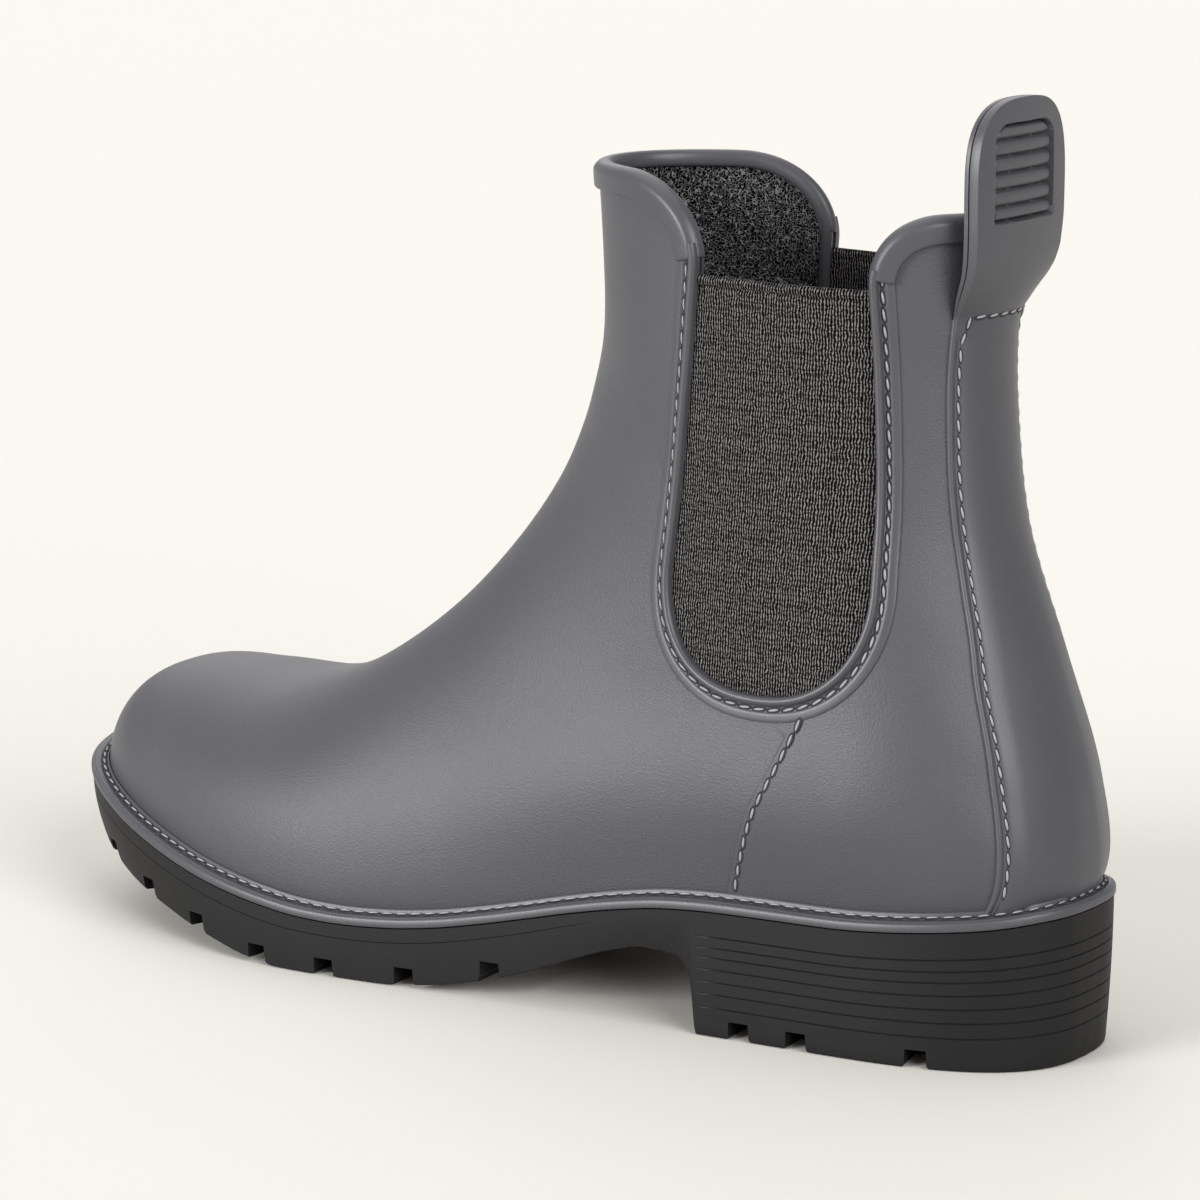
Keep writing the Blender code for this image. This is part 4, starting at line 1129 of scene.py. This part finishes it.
def tab_grid(share, inset, columns, rows):
    """Grid over the tab, whose top rounds off; inset shrinks its outline."""
    low, height, power = TAB_ROUND
    base = TAB_ROWS[0][0]
    grid = []
    for r in np.linspace(0, 1, rows):
        row = []
        for w in np.sin(np.linspace(-0.5, 0.5, columns) * math.pi):
            top = low + (height - inset) * (1 - abs(w) ** power) ** (1 / power)
            z = base + (top - base) * r
            y = (tab_size("half", min(z, low)) - inset) * w
            row.append(tab_point(y, z, share))
        grid.append(row)
    return np.array(grid)


def grip(grid):
    """Sinks the ribbed recess into the tab's rear face."""
    y, z = grid[..., 1], grid[..., 2]
    low, high = RECESS
    middle, half = 0.5 * (low + high), 0.5 * (high - low)
    radius = np.where(z > middle, *RECESS_ROUND)
    over = np.stack([np.abs(y) - RECESS_HALF + radius, np.abs(z - middle) - half + radius], -1)
    outside = np.linalg.norm(np.maximum(over, 0), axis=-1) + np.minimum(over.max(-1), 0) - radius
    pitch = (high - low) / RIB_COUNT
    rib = 1 - np.abs(2 * ((z - low) / pitch % 1.0) - 1) ** RIB_POWER
    floor = RECESS_DEPTH - RIB_HEIGHT * rib * step(*RIB_ENDS, -outside)
    grid[..., 0] += step(0.0, RECESS_WALL, -outside) * floor
    return grid


def plate(rear, front, soft):
    """Closed sheet between two grids with softened rims."""
    bm = joined(loft(rear), loft(front))
    rim = [e for e in bm.edges if e.is_boundary]
    bmesh.ops.bridge_loops(bm, edges=rim)
    bmesh.ops.recalc_face_normals(bm, faces=bm.faces)
    bmesh.ops.bevel(bm, geom=rim, offset=soft * MM, affect='EDGES', segments=3, profile=0.5, material=-1,
                    clamp_overlap=True)
    return bm


class BOOT_OT_pull_tab(bpy.types.Operator):
    """Layered pull tab with a ribbed grip, sewn to the back strip"""
    bl_idname = "boot.pull_tab"
    bl_label = "Pull tab"

    def execute(self, context):
        layers = []
        for start, end, inset, soft, size in TAB_LAYERS:
            rear, front = tab_grid(start, inset, *size), tab_grid(end, inset, *size)
            layers.append(plate(rear if layers else grip(rear), front, soft))
        piece("pull_tab", joined(*layers), ("trim rubber",), "pull_tab", 60.0)
        return {'FINISHED'}


class BOOT_OT_welt(bpy.types.Operator):
    """Welt round the foot of the upper with its stitches"""
    bl_idname = "boot.welt"
    bl_label = "Welt"

    def execute(self, context):
        top = mm("welt_top")
        inner, outer = self.ring(outline(top, 0.0, 0.0)), self.ring(SOLE_SIDES)
        rings = [self.ledge(inner, outer, s, h * top) for s, h in WELT]
        rings = along_ring(np.stack(rings, 1))
        piece("welt", loft(rings, around=True), ("trim rubber",), "welt", 50.0)
        seam = along_ring(self.ledge(inner, outer, WELT_SEAM[0], WELT_SEAM[1] * top))
        sew("welt_stitches", [(Vector(p), Vector((0, 0, 1))) for p in seam])
        return {'FINISHED'}

    def ring(self, sides):
        """Both sides of an outline as one ring, with closer points at heel and toe."""
        u = np.linspace(0, 1, WELT_STATIONS)
        pace = 0.45 * u + 0.275 * (1 - np.cos(math.pi * u))
        left, right = (along(side, pace) for side in sides)
        return np.concatenate([left, right[-2:0:-1]])

    def ledge(self, inner, outer, share, height):
        """Ring at a share of the way out and a height over the seat."""
        ring = inner + (outer - inner) * share
        return np.column_stack([ring, smooth(SEAT, ring[:, 0]) + height])


class BOOT_OT_outsole(bpy.types.Operator):
    """Black sole with heel lines, edge notches and tread"""
    bl_idname = "boot.outsole"
    bl_label = "Outsole"

    def execute(self, context):
        sides = outline(GAP, OVERHANG[0] - SOLE_STEP, OVERHANG[1] - SOLE_STEP)
        breast = np.concatenate([np.linspace(*run) for run in BREAST])
        even = np.linspace(*END_CAPS, SOLE_STATIONS)
        even = even[(even < BREAST_ROOM[0]) | (even > BREAST_ROOM[1])]
        left, right = rails(sides, np.sort(np.concatenate([even, breast])))
        halves = [self.side(left, inward_of(left, right)), self.side(right, inward_of(right, left))]
        sections = np.concatenate([halves[0], halves[1][:, ::-1]], 1)
        outsole = piece("outsole", loft(sections, around=True), ("sole rubber",), "outsole", 32.0)
        cutter = bpy.data.objects.new("notches", self.notches(sides))
        bpy.context.collection.objects.link(cutter)
        change = outsole.modifiers.new("notches", 'BOOLEAN')
        change.operation = 'DIFFERENCE'
        change.solver = 'EXACT'
        change.object = cutter
        settle(outsole, 32.0)
        bpy.data.objects.remove(cutter)
        return {'FINISHED'}

    def side(self, rail, inward):
        """Points of one side of the sole, from its top to its tread, for each station."""
        x = rail[:, 0]
        top, bottom = smooth(SEAT, x), smooth(TREAD, x)
        heel, fore = step(*HEEL_FADE, x), step(*FORE_FADE, x)
        depth = mm("heel_line")
        rows = [(0.0, 0.0, 0.0), (0.02, 0.0, 0.0)]
        for line in sorted((*HEEL_LINES, FORE_LINE)):
            for at, deep in LINE_SECTION:
                of_heel = deep * depth if line != FORE_LINE else 0.0
                of_fore = deep * depth if line == FORE_LINE else 0.0
                rows.append((line + at * LINE_HALF, of_heel, of_fore))
        rows.sort()
        rows += [(0.9, 0.0, 0.0), (0.97, 0.0, 0.0)]
        points = []
        for share, of_heel, of_fore in rows:
            inset = smooth(TAPER, x) * share ** 2 + heel * of_heel + fore * of_fore
            points.append(np.column_stack([rail + inward * inset[:, None], top + (bottom - top) * share]))
        round_edge = np.minimum(SOLE_EDGE, SOLE_EDGE_SHARE * (top - bottom))
        for turn in np.linspace(0, math.pi / 2, 4):
            inset = smooth(TAPER, x) + round_edge * (1 - math.cos(turn))
            lift = round_edge * (1 - math.sin(turn))
            points.append(np.column_stack([rail + inward * inset[:, None], bottom + lift]))
        return np.stack(points, 1)

    def notches(self, sides):
        """Wedges that notch the tread's edge, and shallow chevrons across its middle."""
        bm = bmesh.new()
        for line, way in zip(sides, (1, -1)):
            for x in NOTCH_X:
                y, ahead = (float(np.interp(at, *line.T)) for at in (x, x + 2))
                run = Vector((2.0, ahead - y, 0.0)).normalized()
                out = Vector((-run.y, run.x, 0.0)) * way
                section = self.groove(NOTCH_EDGE, NOTCH_HALF, x)
                start = Vector((x, y, 0.0)) - out * NOTCH_DEEP
                self.bar(bm, section, start, run, out * (NOTCH_DEEP + NOTCH_OVER))
        for x in CHEVRON_X:
            left, right = (float(np.interp(x, *line.T)) for line in sides)
            middle = 0.5 * (left + right)
            reach = 0.5 * (left - right) - CHEVRON_MARGIN
            section = self.groove(CHEVRON_EDGE, 0.0, x)
            for way in (1, -1):
                start = Vector((x, middle + way * CHEVRON_SPLIT, 0.0))
                self.bar(bm, section, start, Vector((1, 0, 0)), Vector((-CHEVRON_SWEEP, way * reach, 0.0)))
        bmesh.ops.recalc_face_normals(bm, faces=bm.faces)
        mesh = bpy.data.meshes.new("notches")
        bm.to_mesh(mesh)
        bm.free()
        mesh.materials.append(finish("sole rubber"))
        return mesh

    def groove(self, edge, half, x):
        """Section of a groove in the tread at x: up one side and down the other."""
        z = float(smooth(TREAD, x))
        return [(-half - d, z + h) for d, h in edge] + [(half + d, z + h) for d, h in reversed(edge)]

    def bar(self, bm, section, start, run, reach):
        """A straight bar: its section stands on run and z, and it reaches from start."""
        ring = bmesh.ops.create_circle(bm, cap_ends=True, segments=len(section), radius=MM)["verts"]
        for vert, (s, z) in zip(ring, section):
            vert.co = ((start + run * s - Vector(CENTRE)) + Vector((0, 0, z))) * MM
        made = bmesh.ops.extrude_face_region(bm, geom=ring[0].link_faces[:])
        moved = [v for v in made["geom"] if isinstance(v, bmesh.types.BMVert)]
        bmesh.ops.translate(bm, verts=moved, vec=reach * MM)


class BOOT_OT_insole(bpy.types.Operator):
    """Felt footbed with a low crown"""
    bl_idname = "boot.insole"
    bl_label = "Insole"

    def execute(self, context):
        wall = mm("wall") + INSOLE_CLEAR
        left, right = rails(outline(GAP, -wall, -wall), np.linspace(*END_CAPS, 90))
        across = np.linspace(0, 1, 21)
        spread = 2 * across - 1
        rings = []
        for a, b in zip(left, right):
            line = a + (b - a) * across[:, None]
            seat = smooth(SEAT, line[:, 0]) + GAP
            cup = INSOLE_CUP * min(1.0, np.ptp(line[:, 1]) / INSOLE_WIDE)
            crown = mm("insole") - INSOLE_EDGE * spread ** 8 + cup * spread ** 4
            upper, lower = np.column_stack([line, seat + crown]), np.column_stack([line, seat])
            rings.append(np.concatenate([upper, lower[::-1]]))
        piece("insole", loft(rings, around=True), ("lining felt",), "insole", 60.0)
        return {'FINISHED'}


class BOOT_OT_stage(bpy.types.Operator):
    """Pale floor, soft light and the camera"""
    bl_idname = "boot.stage"
    bl_label = "Stage"

    def execute(self, context):
        stage = context.scene.boot_stage
        bm = bmesh.new()
        bmesh.ops.create_grid(bm, x_segments=8, y_segments=8, size=FLOOR_HALF)
        bmesh.ops.translate(bm, verts=bm.verts, vec=(0, 0, -FLOOR_DROP))
        mesh = bpy.data.meshes.new("floor")
        bm.to_mesh(mesh)
        bm.free()
        made = Finish("floor")
        made.set(base_color=(*stage.floor, 1.0), roughness=0.9)
        mesh.materials.append(made.material)
        floor = bpy.data.objects.new("floor", mesh)
        bpy.context.collection.objects.link(floor)
        world = context.scene.world or bpy.data.worlds.new("sky")
        context.scene.world = world
        world.use_nodes = True
        sky = world.node_tree.nodes["Background"]
        sky.inputs["Color"].default_value = (1.0, 1.0, 1.0, 1.0)
        sky.inputs["Strength"].default_value = stage.sky
        for row in LIGHTS:
            self.lamp(**dict(zip(LIGHT_COLUMNS, row)), power=stage.lamp)
        self.camera(stage)
        context.scene.view_settings.view_transform = 'Standard'
        return {'FINISHED'}

    def lamp(self, name, azimuth, elevation, spread, share, power):
        """A sun that shines on the boot from a side and a height."""
        a, e = math.radians(azimuth), math.radians(elevation)
        away = Vector((math.sin(a) * math.cos(e), -math.cos(a) * math.cos(e), math.sin(e)))
        data = bpy.data.lights.new(name, 'SUN')
        data.angle = math.radians(spread)
        data.energy = power * share
        lamp = bpy.data.objects.new(name, data)
        lamp.location = away
        lamp.rotation_euler = away.to_track_quat('Z', 'Y').to_euler()
        bpy.context.collection.objects.link(lamp)

    def camera(self, stage):
        """The camera, turned towards the heel and tilted down."""
        level = Vector((math.sin(stage.yaw), -math.cos(stage.yaw), 0.0))
        right = Vector((-math.cos(stage.yaw), -math.sin(stage.yaw), 0.0))
        ahead = level * math.cos(stage.pitch) - Vector((0, 0, math.sin(stage.pitch)))
        data = bpy.data.cameras.new("camera")
        data.lens = stage.lens
        data.sensor_width = 36.0
        camera = bpy.data.objects.new("camera", data)
        turn = Matrix((right, right.cross(ahead), -ahead)).transposed().to_4x4()
        camera.matrix_world = Matrix.Translation((np.array(CAMERA_AT) - CENTRE) * MM) @ turn
        bpy.context.collection.objects.link(camera)
        bpy.context.scene.camera = camera


class BOOT_PT_panel(bpy.types.Panel):
    """Sizes, colours and pieces of the boot"""
    bl_idname = "BOOT_PT_panel"
    bl_label = "Rain ankle boot"
    bl_space_type = 'VIEW_3D'
    bl_region_type = 'UI'
    bl_category = "Boot"

    def draw(self, context):
        for group in (context.scene.boot_sizes, context.scene.boot_colours, context.scene.boot_stage):
            box = self.layout.box()
            for name in group.__annotations__:
                box.prop(group, name)
        for operator in OPERATORS:
            self.layout.operator(operator.bl_idname)


GROUPS = (BootSizes, BootColours, BootStage)
OPERATORS = (BOOT_OT_upper, BOOT_OT_gussets, BOOT_OT_gusset_trims, BOOT_OT_bindings, BOOT_OT_back_strip,
             BOOT_OT_pull_tab, BOOT_OT_welt, BOOT_OT_outsole, BOOT_OT_insole, BOOT_OT_stage)


def register():
    for cls in (*GROUPS, *OPERATORS, BOOT_PT_panel):
        bpy.utils.register_class(cls)
    bpy.types.Scene.boot_sizes = PointerProperty(type=BootSizes)
    bpy.types.Scene.boot_colours = PointerProperty(type=BootColours)
    bpy.types.Scene.boot_stage = PointerProperty(type=BootStage)


def unregister():
    for name in ("boot_sizes", "boot_colours", "boot_stage"):
        delattr(bpy.types.Scene, name)
    for cls in reversed((*GROUPS, *OPERATORS, BOOT_PT_panel)):
        bpy.utils.unregister_class(cls)


def main():
    register()
    for operator in OPERATORS:
        group, name = operator.bl_idname.split(".")
        if getattr(getattr(bpy.ops, group), name)() != {'FINISHED'}:
            raise RuntimeError(f"{operator.bl_label} was not finished")


if __name__ == "__main__":
    main()
